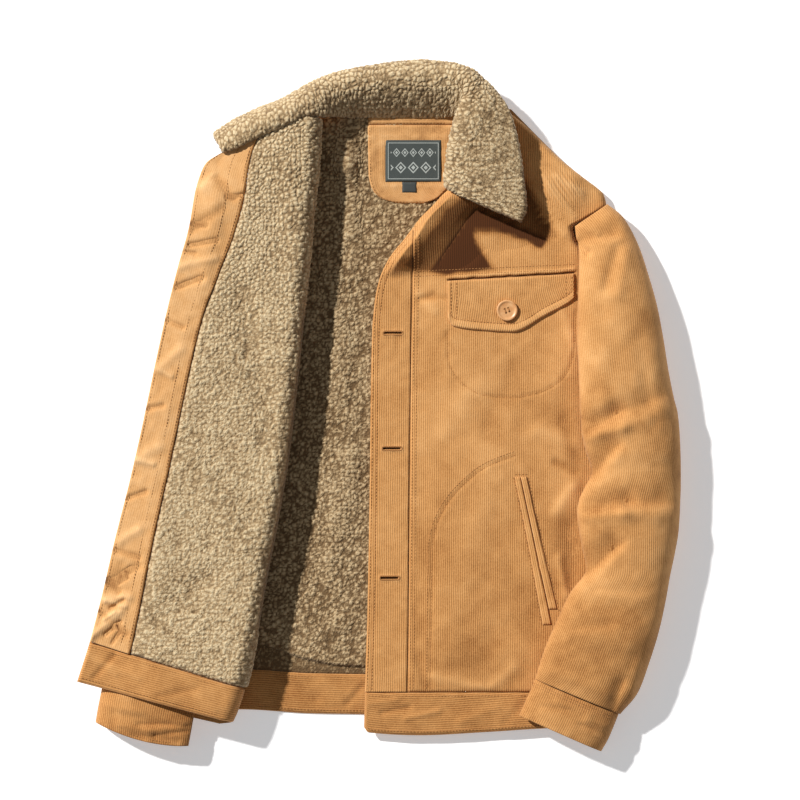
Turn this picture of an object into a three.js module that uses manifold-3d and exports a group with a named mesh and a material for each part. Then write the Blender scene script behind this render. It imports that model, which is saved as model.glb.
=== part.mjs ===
// Sherpa lined corduroy jacket, laid out flat with its right front folded back.
// Millimetres, +Z up, floor at z = 0, +Y towards the collar, +X towards the wearer's left.
import * as THREE from 'three';
import Module from 'manifold-3d';

const wasm = await Module();
wasm.setup();
const { Manifold, Mesh: SolidMesh } = wasm;

// Cloth thicknesses and gaps.
const SHELL = 1.6;
const PILE = 5.5;
const SEAM = 0.3;
const BAND = 4.6;
const FACING = 1.7;

// Heights of the stack of layers where the garment lies flat.
const MEET = 7.4;
const FRONT_TOP = 2 * MEET + SEAM;
const PUFF = 3.0;
const LINING_LOW = -(SHELL + SEAM + PILE);
const LINING_HIGH = -(SHELL + SEAM);

// Folded right front.
const FOLD_RADIUS = 11.7;
const UPPER_RUN = FRONT_TOP + 2 * FOLD_RADIUS;
const FOLD_LEAN = 0.155;

// Front edge details.
const PLACKET_LOW = -3.9;
const PLACKET_HIGH = -0.3;
const FACING_HIGH = PLACKET_LOW - SEAM;
const FACING_LOW = FACING_HIGH - FACING;
const BUTTONHOLE = [19, 2.2];

// Trims.
const FLAP_THICK = 2.0;
const BUTTON_DIAMETER = 23;
const BUTTON_THICK = 3.2;
const SLEEVE_WALL = 6;
const CUFF_WALL = 3.5;

// The middle of the outline, moved to x = y = 0 at the end.
const CENTRE_X = 0.8;
const CENTRE_Y = -0.7;

const CORDUROY = 0xc68f54;
const CORDUROY_INNER = 0xb9834a;
const SHERPA = 0xae9673;

// A table with named columns, read between its rows by a smooth curve that never overshoots.
function table(columns, rows) {
  const names = columns.split(' ');
  const key = rows.map((row) => row[0]);
  const read = {};
  names.slice(1).forEach((name, index) => {
    const value = rows.map((row) => row[index + 1]);
    read[name] = (at) => smoothRead(key, value, at);
  });
  return read;
}

function smoothRead(key, value, at) {
  const last = key.length - 1;
  if (at <= key[0]) return value[0];
  if (at >= key[last]) return value[last];
  let i = 0;
  while (at > key[i + 1]) i += 1;
  const slope = (k) => (value[k + 1] - value[k]) / (key[k + 1] - key[k]);
  const tangent = (k) => {
    if (k === 0) return slope(0);
    if (k === last) return slope(last - 1);
    const before = slope(k - 1);
    const after = slope(k);
    return before * after <= 0 ? 0 : (2 * before * after) / (before + after);
  };
  const span = key[i + 1] - key[i];
  const t = (at - key[i]) / span;
  const a = value[i];
  const b = value[i + 1];
  return a * (1 + 2 * t) * (1 - t) ** 2 + b * t * t * (3 - 2 * t)
    + span * t * (1 - t) * ((1 - t) * tangent(i) - t * tangent(i + 1));
}

const mix = (a, b, t) => a + (b - a) * t;
const clamp = (t, low, high) => Math.min(high, Math.max(low, t));
const ease = (t) => {
  const s = clamp(t, 0, 1);
  return s * s * (3 - 2 * s);
};
const steps = (from, to, count) => Array.from({ length: count + 1 }, (_, i) => mix(from, to, i / count));

// Soft creases, each a straight ridge (height above 0) or trough (below 0).
function relief(creases, x, y) {
  let height = 0;
  for (const [x0, y0, x1, y1, width, rise] of creases) {
    const dx = x1 - x0;
    const dy = y1 - y0;
    const along = clamp(((x - x0) * dx + (y - y0) * dy) / (dx * dx + dy * dy), 0, 1);
    const away = Math.hypot(x - x0 - along * dx, y - y0 - along * dy);
    height += rise * Math.exp(-((away / width) ** 2));
  }
  return height;
}

// The stretch of the back lining with creases, by x.
const CREASED = [-76, -14];

// Creases: start x, start y, end x, end y, width, rise.
const FRONT_CREASES = [
  [186, 236, 214, 196, 10, 2.2],
  [170, 262, 228, 232, 14, 3.0],
  [152, 226, 200, 170, 12, -1.6],
  [120, 190, 60, 160, 18, 1.2],
  [212, -136, 216, -196, 12, -3.0],
  [128, -250, 108, -300, 16, -1.4],
  [92, -180, 128, -60, 22, 1.0],
  [60, 60, 64, -60, 18, -1.0],
  [206, 64, 190, 10, 14, 1.4],
];
const LINING_CREASES = [
  [-29, 317, -35, 262, 7, 5.0],
  [-35, 262, -30, 190, 8, 2.5],
  [-48, 150, -40, 20, 14, 1.8],
  [-30, -60, -60, -190, 16, 2.2],
  [-40, -240, -90, -262, 12, 1.6],
];
const FOLDED_CREASES = [
  [-100, 262, -92, 150, 12, 1.6],
  [-150, 120, -120, -40, 16, -2.4],
  [-210, -60, -150, -150, 14, 1.8],
  [-190, -190, -240, -236, 14, -1.8],
  [-176, 236, -190, 130, 9, 1.6],
];

// Left front, by height y: front edge, placket seam, inner edge of the facing, neck or panel edge, side.
const LEFT_FRONT = table('y edge seam facing neck side', [
  [-362, -16, 31.5, 36, 31.8, 254],
  [-317, -15, 31.8, 36, 32.1, 255],
  [-216, -12, 33, 37, 33.3, 261],
  [-106, -10, 34, 38, 34.3, 268],
  [-31, -9, 34.6, 39, 34.9, 274.5],
  [21, -8.4, 35.2, 39.5, 35.5, 262],
  [81, -7, 36.2, 41, 36.5, 247],
  [114, -4, 36.8, 43, 37.1, 236],
  [136, 0.5, 37, 46, 37.3, 233],
  [156, 9, 37.2, 52, 37.5, 228],
  [167, 16, 37.4, 57, 37.7, 225],
  [180, 27, 37.6, 65, 37.9, 218],
  [194, 37.5, 38, 75, 38.6, 215],
  [205, 46, 46, 84, 46, 230],
  [214, 55, 55, 92, 55, 246],
  [219, 60, 60, 96, 60, 251],
  [231, 71, 71, 106, 71, 248],
  [239, 80, 80, 112, 80, 240],
  [245, 83, 83, 114, 84, 232],
  [264, 90, 90, 118, 91, 207],
  [280, 93, 93, 118, 93.5, 190],
  [301, 94, 94, 114, 94.5, 169],
  [321, 87, 87, 110, 88, 145],
]);

// Back, by height y before the hem's rise: left and right outline.
const BACK = table('y left right', [
  [-362, -235, 254],
  [-317, -234, 255],
  [-216, -232, 261],
  [-106, -229, 268],
  [-31, -227, 274.5],
  [21, -211, 262],
  [81, -198, 247],
  [136, -190, 233],
  [180, -184, 218],
  [208, -172, 238],
  [219, -163, 251],
  [245, -138, 232],
  [264, -118, 207],
  [301, -80, 169],
  [320, -60, 146],
]);
const HEM_RISE = table('x rise', [
  [-235, 21],
  [-151, 25],
  [-75, 20.5],
  [-17, 19.5],
  [40, 17],
  [120, 12],
  [255, 0],
]);

// Hem of the left front band, by x.
const LEFT_HEM = table('x y', [
  [-16, -356],
  [-11, -362],
  [45, -365],
  [118, -361.5],
  [182, -357.5],
  [254, -355],
]);

// Folded right front, by row: side seam, fold, front edge and where the pile stops on the upper run.
const RIGHT_FRONT = table('row sideX sideY foldX foldY edgeX edgeY pile', [
  [-1, -235, -340, -156, -352, -331, -305, 0.71],
  [0, -234, -296, -144, -314, -317, -261, 0.71],
  [1, -232.5, -248, -133, -260, -303, -209, 0.72],
  [2, -231, -190, -122, -196, -288, -146, 0.73],
  [3, -229, -126, -109, -129, -272, -84, 0.74],
  [4, -227.5, -56, -97, -56, -257, -18, 0.74],
  [5, -216, 4, -90, 4, -244, 44, 0.73],
  [6, -203, 59, -84, 59, -232, 99, 0.71],
  [7, -193, 114, -79, 114, -219, 151, 0.65],
  [8, -187, 160, -74, 166, -207, 194, 0.58],
  [9, -173, 206, -69, 219, -199, 238, 0.53],
  [10, -140, 250, -64, 268, -189, 264, 0.54],
  [11, -112, 288, -62, 312, -170, 276, 0.56],
]);
const BODY_LEFT = table('y x', [
  [-362, -235],
  [-296, -234],
  [-126, -229],
  [-31, -226],
  [21, -211],
  [81, -198],
  [136, -190],
  [206, -173],
  [252, -130],
  [297, -86],
]);

// Left sleeve rings: inner x y, outer x y, then heights of the crest, inner edge and outer edge.
const LEFT_SLEEVE = [
  [216, 195.5, 252, 220, 25, 22, 17],
  [217, 185, 268, 207, 34, 25, 17],
  [220.5, 166, 286, 175, 42, 28, 17],
  [220, 140, 297, 142, 48, 31, 19],
  [219, 108, 306, 110, 52, 33, 20],
  [218.5, 70, 313, 74, 54, 34, 21],
  [220, 30, 319, 36, 55, 34, 22],
  [221, 0, 325, 6, 55, 34, 22],
  [222, -18, 329, -10, 50.5, 33, 22],
  [223, -31, 331, -30, 56.5, 33, 22],
  [224, -50, 332, -50, 56, 33, 22],
  [224.5, -74, 332.5, -70, 52, 32, 21],
  [223.5, -92, 332.5, -90, 53, 33, 21],
  [220, -106, 332, -104, 50, 33, 21],
  [218, -118, 331.5, -118, 56, 33, 21],
  [220, -138, 330, -140, 55.5, 33, 21],
  [224, -160, 326, -164, 52, 32, 21],
  [222, -181, 321, -188, 49.5, 31, 20],
  [210, -208, 316, -216, 52.5, 33, 20],
  [196, -237, 309, -248, 53, 33, 20],
  [182, -270, 298, -284, 50, 32, 20],
  [175, -292, 285, -318, 46.5, 31, 20],
  [172, -302, 266, -341, 42.5, 30, 19],
];
const LEFT_CUFF = [
  [171.5, -302.9, 264, -341.4, 40, 29, 18],
  [167, -314, 259, -354, 42, 29, 19],
  [160, -329, 254, -369, 42.5, 29, 19],
  [154.5, -342, 247.5, -382, 41.5, 29, 19],
];

// Right sleeve rings, outer x y first because it lies on the left. A last number bows the ring.
const RIGHT_SLEEVE = [
  [-173, 199, -136, 216, 24, 17, 19],
  [-186, 182, -124, 192, 30, 18, 22],
  [-205, 150, -114, 156, 35.5, 19, 24],
  [-220, 105, -109, 110, 36.8, 19, 25],
  [-230, 50, -114, 52, 37, 19, 25],
  [-240, -10, -123, -8, 37, 18, 25],
  [-253, -70, -140, -68, 37, 18, 25],
  [-267, -130, -156, -130, 36.6, 17, 25],
  [-281, -190, -170, -194, 36, 16, 25],
  [-294, -250, -186, -258, 35, 15, 25],
  [-301, -290, -194, -306, 34, 15, 24],
  [-303, -305, -198, -330, 33, 15, 23],
];
const RIGHT_CUFF = [
  [-303.2, -305.8, -200, -330.6, 32, 15, 22],
  [-306, -320, -203, -344, 32.5, 16, 23],
  [-309, -335, -206, -360, 32, 16, 22, 4],
  [-311.5, -350, -209, -376, 31, 16, 21, 7],
];

// Collar stations: seam, middle and outer edge points, from the right tip round the neck to the left tip.
const COLLAR = table('station ax ay az mx my mz bx by bz', [
  [0, -172, 278, 38, -177, 287, 33, -181, 293, 15],
  [1, -158, 283.5, 39, -161, 296, 36, -162, 307, 13],
  [2, -131, 297, 41, -134, 310, 39, -135, 319, 12],
  [3, -100, 310.5, 43, -102, 323, 41, -103, 333, 13],
  [4, -80, 320, 43, -83, 333, 41, -84, 343, 14],
  [5, -62, 321, 37, -64, 341, 38, -66, 353, 17],
  [6, -46, 322.5, 24, -46, 344, 35, -46, 361, 22],
  [7, -26, 323.5, 14, -24, 346, 34, -22, 367, 24],
  [8, 3, 323.5, 10.6, 4, 347, 33, 5, 372, 24],
  [9, 40, 323.5, 10.6, 44, 349, 33, 48, 376, 25],
  [10, 68, 323.5, 11, 75, 348, 34, 78, 373, 27],
  [11, 88, 325, 20, 93, 347, 39, 101, 365, 30],
  [12, 99, 313, 21, 97, 336, 41, 122, 348, 31],
  [13, 100, 298, 21, 90, 315, 41, 142, 325, 30],
  [14, 98, 280, 21, 83.5, 287, 39, 154, 287, 28],
  [15, 95, 262, 21, 81, 262, 36, 160, 248, 27],
  [16, 91, 248, 21, 80, 244, 33, 163, 216, 27],
  [17, 89, 242, 21, 84, 234, 29, 157, 199, 27],
]);
const COLLAR_MIDDLE = 0.42;

// Chest flap: top and bottom edges by x.
const FLAP = table('x top bottom', [
  [76, 135.5, 95],
  [83, 136, 85],
  [112, 137.5, 81],
  [147, 139.5, 79],
  [183, 141.5, 97],
  [210, 143, 112],
  [215.5, 143.5, 117],
]);
const FLAP_BUTTON = [141.4, 103];

// Lower pocket welts by y: front stitch line, slit, side stitch line.
const WELTS = table('y front slit side', [
  [-244, 181, 191, 201],
  [-160, 166, 173, 181],
  [-80, 150, 156, 163],
]);

// Neck patch: left and right edges by y.
const NECK_PATCH = table('y left right', [
  [221, 22, 48],
  [225.5, 5, 62],
  [232, -4, 71],
  [240, -8.5, 78],
  [253, -11, 83],
  [280, -11.5, 85],
  [307.6, -12, 85.5],
]);
const NECK_TAPE = [-12, 308, 86, 320];
const LABEL = [7.5, 244.9, 69, 290.8];
const SIZE_TAG = [26, 233, 42, 244.5];
const BUTTONHOLES = [[15.8, 78], [14.9, -49], [12.2, -191.5]];
const FRONT_BUTTON_ROWS = [1.65, 4.05, 6.3];

const vec = (x, y, z) => new THREE.Vector3(x, y, z);

// Height of the left front's outer face: it puffs a little over its lining, away from its edges.
function frontHeight(x, y) {
  const across = ease((x - LEFT_FRONT.neck(y) - 4) / 38) * ease((236 - x) / 26);
  const along = ease((y + 316) / 50) * ease((318 - y) / 60);
  return FRONT_TOP + (PUFF + relief(FRONT_CREASES, x, y)) * across * along;
}

// Left front sheet: u 0 to 1 across the flat, 1 to 2 down the rolled side.
function frontSheet(left, rolled, lowerEdge) {
  return (u, y) => {
    const from = left(y);
    const flat = rolled ? LEFT_FRONT.side(y) - MEET : rolledEnd(y);
    const x = mix(from, flat, Math.min(u, 1));
    const rowY = lowerEdge ? lowerEdge(x, y) : y;
    const height = frontHeight(x, rowY);
    if (u <= 1) return vec(x, rowY, height);
    const turn = ((u - 1) * Math.PI) / 2;
    const low = MEET + SEAM;
    return vec(flat + MEET * Math.sin(turn), rowY, low + (height - low) * Math.cos(turn));
  };
}
const rolledEnd = (y) => LEFT_FRONT.side(y) - MEET;

// A flat strip of the left front between two columns of its table.
const frontStrip = (left, right) => (u, y) => vec(mix(left(y), right(y), u), y, FRONT_TOP);

// The back's hem curves up towards the folded side.
const backY = (x, y) => y + HEM_RISE.rise(x) * ease((-60 - y) / 250);

// Back sheet: u -1 to 0 up the left roll, 0 to 1 across, 1 to 2 up the right roll.
function backSheet(u, y) {
  const x = mix(BACK.left(y) + MEET, BACK.right(y) - MEET, clamp(u, 0, 1));
  const turn = (Math.max(0, -u, u - 1) * Math.PI) / 2;
  const side = u < 0 ? -1 : 1;
  return vec(x + side * MEET * Math.sin(turn), backY(x, y), MEET * (1 - Math.cos(turn)));
}

// Back lining: u 0 to 1 is hidden on the left, 1 to 2 the creased stretch that shows, 2 to 3 the rest.
function backLiningSheet(u, y) {
  const stops = [BACK.left(y) + MEET + 1, Math.max(CREASED[0], BACK.left(y) + 14), CREASED[1],
    BACK.right(y) - MEET - 1];
  const stretch = clamp(Math.floor(u), 0, 2);
  const x = mix(stops[stretch], stops[stretch + 1], u - stretch);
  const rowY = backY(x, y);
  return vec(x, rowY, relief(LINING_CREASES, x, rowY) * ease((x + 72) / 22));
}

// How far a point lies outside the body, past its sides or below its hem.
function outsideBody(x, y) {
  const right = x - LEFT_FRONT.side(y);
  const left = BODY_LEFT.x(y) - x;
  const below = -362 - y;
  return Math.max(0, right, left, below);
}

// Height of the folded front's outer face on its upper run.
function upperHeight(x, y) {
  const away = Math.max(0, BODY_LEFT.x(y) - x);
  return UPPER_RUN - 9.5 * ease(away / 80) + relief(FOLDED_CREASES, x, y);
}

// Folded right front: u -1 to 0 side roll, 0 to 1 lower run, 1 to 2 round the fold, 2 to 3 upper run.
function foldedSheet(u, row) {
  const side = vec(RIGHT_FRONT.sideX(row) + MEET, RIGHT_FRONT.sideY(row), FRONT_TOP);
  const outer = FOLD_RADIUS - LINING_LOW;
  const foot = vec(RIGHT_FRONT.foldX(row) - outer, RIGHT_FRONT.foldY(row), FRONT_TOP);
  if (u <= 0) {
    const turn = (-u * Math.PI) / 2;
    return vec(side.x - MEET * Math.sin(turn), side.y, FRONT_TOP - MEET * (1 - Math.cos(turn)));
  }
  if (u <= 1) return side.lerp(foot, u);
  const turn = (Math.min(u, 2) - 1) * Math.PI;
  const climb = FOLD_RADIUS * turn * FOLD_LEAN;
  const shift = climb * FOLD_LEAN;
  const x = foot.x + FOLD_RADIUS * Math.sin(turn) + shift;
  const y = foot.y + climb;
  if (u <= 2) {
    const share = 0.5 - 0.5 * Math.cos(turn);
    return vec(x, y, mix(FRONT_TOP, upperHeight(x, y), share));
  }
  const t = u - 2;
  const edgeX = mix(x, RIGHT_FRONT.edgeX(row), t);
  const edgeY = mix(y, RIGHT_FRONT.edgeY(row), t);
  return vec(edgeX, edgeY, upperHeight(edgeX, edgeY));
}

// Where the pile and panel stop on the upper run, and the placket and its facing start.
const pileEnd = (row) => RIGHT_FRONT.pile(row) - 0.003;
const placketStart = (row) => RIGHT_FRONT.pile(row) + 0.003;

// Collar sheet: w 0 at the neck seam, 1 at the outer edge.
function collarSheet(station, w) {
  const read = (axis) => {
    const a = COLLAR[`a${axis}`](station);
    const m = COLLAR[`m${axis}`](station);
    const b = COLLAR[`b${axis}`](station);
    const k = COLLAR_MIDDLE;
    return (a * (w - k) * (w - 1)) / k + (m * w * (w - 1)) / (k * (k - 1)) + (b * w * (w - k)) / (1 - k);
  };
  return vec(read('x'), read('y'), read('z'));
}

// A closed sheet of cloth between two heights above a surface, measured along its normal.
function ply(surface, us, vs, low, high) {
  const value = (level, u, v) => (typeof level === 'function' ? level(u, v) : level);
  const step = 1e-3;
  const under = [];
  const over = [];
  for (const v of vs) {
    for (const u of us) {
      const point = surface(u, v);
      const along = surface(u + step, v).sub(surface(u - step, v));
      const up = surface(u, v + step).sub(surface(u, v - step));
      const normal = along.cross(up).normalize();
      under.push(point.clone().addScaledVector(normal, value(low, u, v)));
      over.push(point.clone().addScaledVector(normal, value(high, u, v)));
    }
  }
  const wide = us.length;
  const tall = vs.length;
  const all = over.length;
  const triangles = [];
  const quad = (a, b, c, d) => triangles.push([a, b, c], [a, c, d]);
  for (let j = 0; j < tall - 1; j += 1) {
    for (let i = 0; i < wide - 1; i += 1) {
      const a = j * wide + i;
      quad(a, a + 1, a + 1 + wide, a + wide);
      quad(all + a, all + a + wide, all + a + 1 + wide, all + a + 1);
    }
  }
  const rim = [];
  for (let i = 0; i < wide - 1; i += 1) rim.push(i);
  for (let j = 0; j < tall - 1; j += 1) rim.push(j * wide + wide - 1);
  for (let i = wide - 1; i > 0; i -= 1) rim.push((tall - 1) * wide + i);
  for (let j = tall - 1; j > 0; j -= 1) rim.push(j * wide);
  rim.forEach((a, k) => {
    const b = rim[(k + 1) % rim.length];
    quad(a, all + a, all + b, b);
  });
  return shape([...over, ...under], triangles);
}

// A sleeve section point. Inset moves it inside the wall.
function sectionPoint(ring, angle, inset) {
  const [leftX, leftY, rightX, rightY, crest, leftHigh, rightHigh, bow = 0] = ring;
  const c = Math.cos(angle);
  const s = Math.sin(angle);
  const across = Math.sign(c) * Math.abs(c) ** 0.85;
  const half = Math.hypot(rightX - leftX, rightY - leftY) / 2;
  const share = 0.5 + (0.5 * across * (half - inset)) / half;
  const x = mix(leftX, rightX, share);
  const y = mix(leftY, rightY, share) - bow * (1 - across * across);
  const base = mix(leftHigh, rightHigh, share);
  if (s >= 0) return vec(x, y, base + (crest - inset - base) * s ** 0.9);
  const rest = frontHeight(x, y) + 0.9 - 14 * ease((outsideBody(x, y) - 3) / 25) + inset;
  return vec(x, y, base + (Math.min(rest, base - 1) - base) * (-s) ** 0.6);
}

// A hollow sleeve. The top is closed when it is sewn into the armhole, the other end is open.
function sleeve(rings, around, wall, closedTop) {
  const angles = steps(0, 2 * Math.PI, around).slice(0, around);
  const inner = closedTop ? rings.slice(2) : rings;
  const outerPoints = rings.flatMap((ring) => angles.map((angle) => sectionPoint(ring, angle, 0)));
  const innerPoints = inner.flatMap((ring) => angles.map((angle) => sectionPoint(ring, angle, wall)));
  const points = [...outerPoints, ...innerPoints];
  const shift = outerPoints.length;
  const triangles = [];
  const quad = (a, b, c, d) => triangles.push([a, b, c], [a, c, d]);
  const next = (j) => (j + 1) % around;
  for (let i = 0; i < rings.length - 1; i += 1) {
    for (let j = 0; j < around; j += 1) {
      const a = i * around;
      quad(a + j, a + next(j), a + around + next(j), a + around + j);
    }
  }
  for (let i = 0; i < inner.length - 1; i += 1) {
    for (let j = 0; j < around; j += 1) {
      const a = shift + i * around;
      quad(a + j, a + around + j, a + around + next(j), a + next(j));
    }
  }
  const endOuter = (rings.length - 1) * around;
  const endInner = shift + (inner.length - 1) * around;
  for (let j = 0; j < around; j += 1) {
    quad(endOuter + j, endOuter + next(j), endInner + next(j), endInner + j);
    if (!closedTop) quad(j, shift + j, shift + next(j), next(j));
  }
  if (closedTop) {
    const middle = (from) => {
      const centre = vec(0, 0, 0);
      for (let j = 0; j < around; j += 1) centre.addScaledVector(points[from + j], 1 / around);
      return points.push(centre) - 1;
    };
    const outerCentre = middle(0);
    const innerCentre = middle(shift);
    for (let j = 0; j < around; j += 1) {
      triangles.push([outerCentre, next(j), j], [innerCentre, shift + j, shift + next(j)]);
    }
  }
  return shape(points, triangles);
}

function shape(points, triangles) {
  const geometry = new THREE.BufferGeometry();
  geometry.setAttribute('position', new THREE.Float32BufferAttribute(points.flatMap((p) => [p.x, p.y, p.z]), 3));
  geometry.setIndex(triangles.flat());
  return geometry;
}

function toSolid(geometry) {
  return new Manifold(new SolidMesh({
    numProp: 3,
    vertProperties: new Float32Array(geometry.attributes.position.array),
    triVerts: new Uint32Array(geometry.index.array),
  }));
}

function toGeometry(solid) {
  const mesh = solid.getMesh();
  const geometry = new THREE.BufferGeometry();
  geometry.setAttribute('position', new THREE.Float32BufferAttribute(mesh.vertProperties, 3));
  geometry.setIndex(Array.from(mesh.triVerts));
  return geometry;
}

// Buttonhole slots cut right through a strip.
function cutButtonholes(geometry, widen) {
  const [length, width] = BUTTONHOLE;
  return BUTTONHOLES.reduce((solid, [x, y]) => {
    const slot = Manifold.cube([length + widen, width + widen, 20], true).translate([x, y, 10]);
    return solid.subtract(slot);
  }, toSolid(geometry));
}

// A button with a raised rim and four holes, its back at z = 0.
function button(segments) {
  const r = BUTTON_DIAMETER / 2;
  const t = BUTTON_THICK;
  const profile = [[0, 0], [r - 1.6, 0], [r, 1.1], [r - 0.3, t - 0.5], [r - 1.3, t], [r - 3.0, t - 0.3],
    [r - 4.0, t - 1.1], [0, t - 1.1]];
  const disc = Manifold.revolve([profile], segments);
  const hole = Manifold.cylinder(10, 1.1, 1.1, 10, true);
  return [[-2, -2], [2, -2], [2, 2], [-2, 2]].reduce(
    (solid, [x, y]) => solid.subtract(hole.translate([x, y, 0])),
    disc,
  );
}

const jacket = new THREE.Group();

function add(name, geometry, color, roughness = 0.9) {
  geometry.translate(-CENTRE_X, -CENTRE_Y, 0);
  geometry.computeVertexNormals();
  const material = new THREE.MeshStandardMaterial({ color, roughness, metalness: 0 });
  const mesh = new THREE.Mesh(geometry, material);
  mesh.name = name;
  jacket.add(mesh);
}

const rollUp = [1, 1.25, 1.5, 1.75, 2];
const rollIn = [-1, -0.75, -0.5, -0.25, 0];
const BODY_ROWS = [-317, -262, -205, -155, -106, -66, -31, -5, 21, 50, 81, 108, 136, 158, 180, 194, 205,
  214, 219, 231, 245, 264, 282, 301, 320];

// Back, its lining and its hem band.
const BACK_ROWS = [-317, -230, -130, -31, 21, 81, 136, 180, 208, 219, 245, 264, 301, 320];
const backColumns = [...rollIn, ...steps(0, 1, 10).slice(1), ...rollUp.slice(1)];
add('back', ply(backSheet, backColumns, BACK_ROWS, 0, SHELL), CORDUROY);
add('back_lining', ply(backLiningSheet, [0, 1, ...steps(1, 2, 8).slice(1), 2.08, 2.2, 2.35, 2.55, 3],
  [-304, -276, -245, -205, -160, -115, -66, -31, 0, 40, 81, 115, 150, 180, 208, 235, 264, 285, 305, 320],
  SHELL + SEAM, MEET), SHERPA, 1.0);

// The band: its hem edge is thinner and rounded.
const bandLow = (deep) => (u, v) => deep + 1.0 * ease((-346 - v) / 14);
const bandHigh = (top) => (u, v) => top - 1.0 * ease((-346 - v) / 14);
const bandRows = [-317.3, -330, -346, -356, -362];
add('hem_band_back', ply(backSheet, backColumns, [...bandRows].reverse(), bandLow(0), bandHigh(BAND)), CORDUROY);

// Neck patch, tape, label and size tag lie on the back lining.
const onLining = (lift) => (x, y) => vec(x, y, MEET + lift);
const patchSheet = (u, y) => onLining(0)(mix(NECK_PATCH.left(y), NECK_PATCH.right(y), u), y);
add('neck_patch', ply(patchSheet, steps(0, 1, 8), [221, 225.5, 232, 240, 253, 280, 307.6],
  SEAM, SEAM + SHELL), CORDUROY_INNER);
const flatPiece = ([x0, y0, x1, y1], low, high, across, tall) => ply(onLining(0), steps(x0, x1, across),
  steps(y0, y1, tall), low, high);
add('neck_tape', flatPiece(NECK_TAPE, SEAM, SEAM + 2.0, 6, 1), CORDUROY_INNER);
const labelLow = 2 * SEAM + SHELL;
add('neck_label', flatPiece(LABEL, labelLow, labelLow + 0.8, 4, 3), 0x3f4644, 0.8);
add('size_tag', flatPiece(SIZE_TAG, labelLow, labelLow + 0.6, 1, 1), 0x3a3f3e, 0.8);

// Left front: lining, facing, placket, panel and hem band.
add('front_left_lining', ply(frontStrip((y) => LEFT_FRONT.facing(y) + 1, rolledEnd),
  [0, 0.25, 0.5, 0.75, 0.995],
  [-304, -205, -106, -31, 21, 81, 114, 136, 156, 167, 180, 194, 205, 219, 239, 264, 301, 320],
  LINING_LOW, LINING_HIGH), SHERPA, 1.0);
const facingLeft = ply(frontStrip(LEFT_FRONT.edge, LEFT_FRONT.facing), [0, 0.5, 1],
  [-316.6, -262, -205, -155, -106, -31, 21, 81, 114, 136, 156, 167, 180, 194, 205, 219, 239],
  FACING_LOW, FACING_HIGH);
add('facing_left', toGeometry(cutButtonholes(facingLeft, 0)), CORDUROY_INNER);
const placketLeft = ply(frontStrip(LEFT_FRONT.edge, LEFT_FRONT.seam), [0, 0.04, 0.35, 0.7, 1],
  [-317, -262, -205, -155, -106, -31, 21, 81, 114, 136, 156, 167, 180, 188, 192],
  (u) => (u === 0 ? PLACKET_LOW + 1 : PLACKET_LOW), (u) => (u === 0 ? PLACKET_HIGH - 1 : PLACKET_HIGH));
add('placket_left', toGeometry(cutButtonholes(placketLeft, 0)), CORDUROY);
add('front_left', ply(frontSheet(LEFT_FRONT.neck, true), [...steps(0, 1, 15), ...rollUp.slice(1)],
  BODY_ROWS, -SHELL, 0), CORDUROY);
const leftBand = (u, v) => {
  const sheet = frontSheet(LEFT_FRONT.edge, true, (x, y) => mix(-317.3, LEFT_HEM.y(x), (-317.3 - y) / 44.7));
  return sheet(u, v);
};
add('hem_band_left', ply(leftBand, [...steps(0, 1, 14), ...rollUp.slice(1)], [...bandRows].reverse(),
  bandLow(-BAND), bandHigh(0)), CORDUROY);

// Chest flap with its button, and the lower pocket's welts.
const flapSheet = (u, v) => {
  const x = mix(76, 215.5, u);
  const y = mix(FLAP.bottom(x), FLAP.top(x), v);
  return vec(x, y, frontHeight(x, y));
};
add('chest_flap_left', ply(flapSheet, [0, 0.03, 0.09, 0.2, 0.35, 0.5, 0.6, 0.7, 0.8, 0.9, 0.97, 1],
  steps(0, 1, 3), SEAM, SEAM + FLAP_THICK), CORDUROY);
const flapTop = frontHeight(...FLAP_BUTTON) + SEAM + FLAP_THICK + SEAM;
add('chest_button', toGeometry(button(32).rotate([0, 0, 20]).translate([...FLAP_BUTTON, flapTop])), 0xd9a26b, 0.45);
const weltSheet = (from, to) => (u, y) => {
  const x = mix(from(y), to(y), u);
  return vec(x, y, frontHeight(x, y));
};
add('welt_left_front', ply(weltSheet(WELTS.front, (y) => WELTS.slit(y) - 0.5), [0, 0.5, 1],
  steps(-243, -80, 8), SEAM, SEAM + SHELL), CORDUROY);
add('welt_left_side', ply(weltSheet((y) => WELTS.slit(y) + 0.5, WELTS.side), [0, 0.5, 1],
  steps(-226, -80, 7), SEAM, SEAM + SHELL), CORDUROY);

// Left sleeve and cuff.
add('sleeve_left', sleeve(LEFT_SLEEVE, 24, SLEEVE_WALL, true), CORDUROY);
add('cuff_left', sleeve(LEFT_CUFF, 24, CUFF_WALL, false), CORDUROY);

// Folded right front: panel, lining, facing, placket, buttons and hem band.
const rightRows = [0.008, 1, 2, 3, 4, 5, 6, 7, 8, 9, 10, 11];
const upTo = (surface, end) => (u, row) => surface(u <= 2 ? u : 2 + (u - 2) * end(row), row);
const foldTurn = steps(1, 2, 9).slice(1);
add('front_right', ply(upTo(foldedSheet, pileEnd),
  [...rollIn, 0.34, 0.67, 1, ...foldTurn, ...steps(2, 3, 8).slice(1)], rightRows, -SHELL, 0), CORDUROY);
add('front_right_lining', ply(upTo(foldedSheet, pileEnd),
  [0.02, 0.34, 0.67, 1, ...foldTurn, ...steps(2, 3, 8).slice(1)], [0.12, ...rightRows.slice(1)],
  LINING_LOW, LINING_HIGH), SHERPA, 1.0);
const between = (start) => (u, row) => foldedSheet(2 + mix(start(row), 1, u), row);
add('facing_right', ply(between(placketStart), [0, 0.33, 0.66, 1], rightRows,
  FACING_LOW, FACING_HIGH), CORDUROY_INNER);
add('placket_right', ply(between(placketStart), [0, 0.33, 0.66, 1], rightRows, PLACKET_LOW, PLACKET_HIGH),
  CORDUROY);
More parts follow.
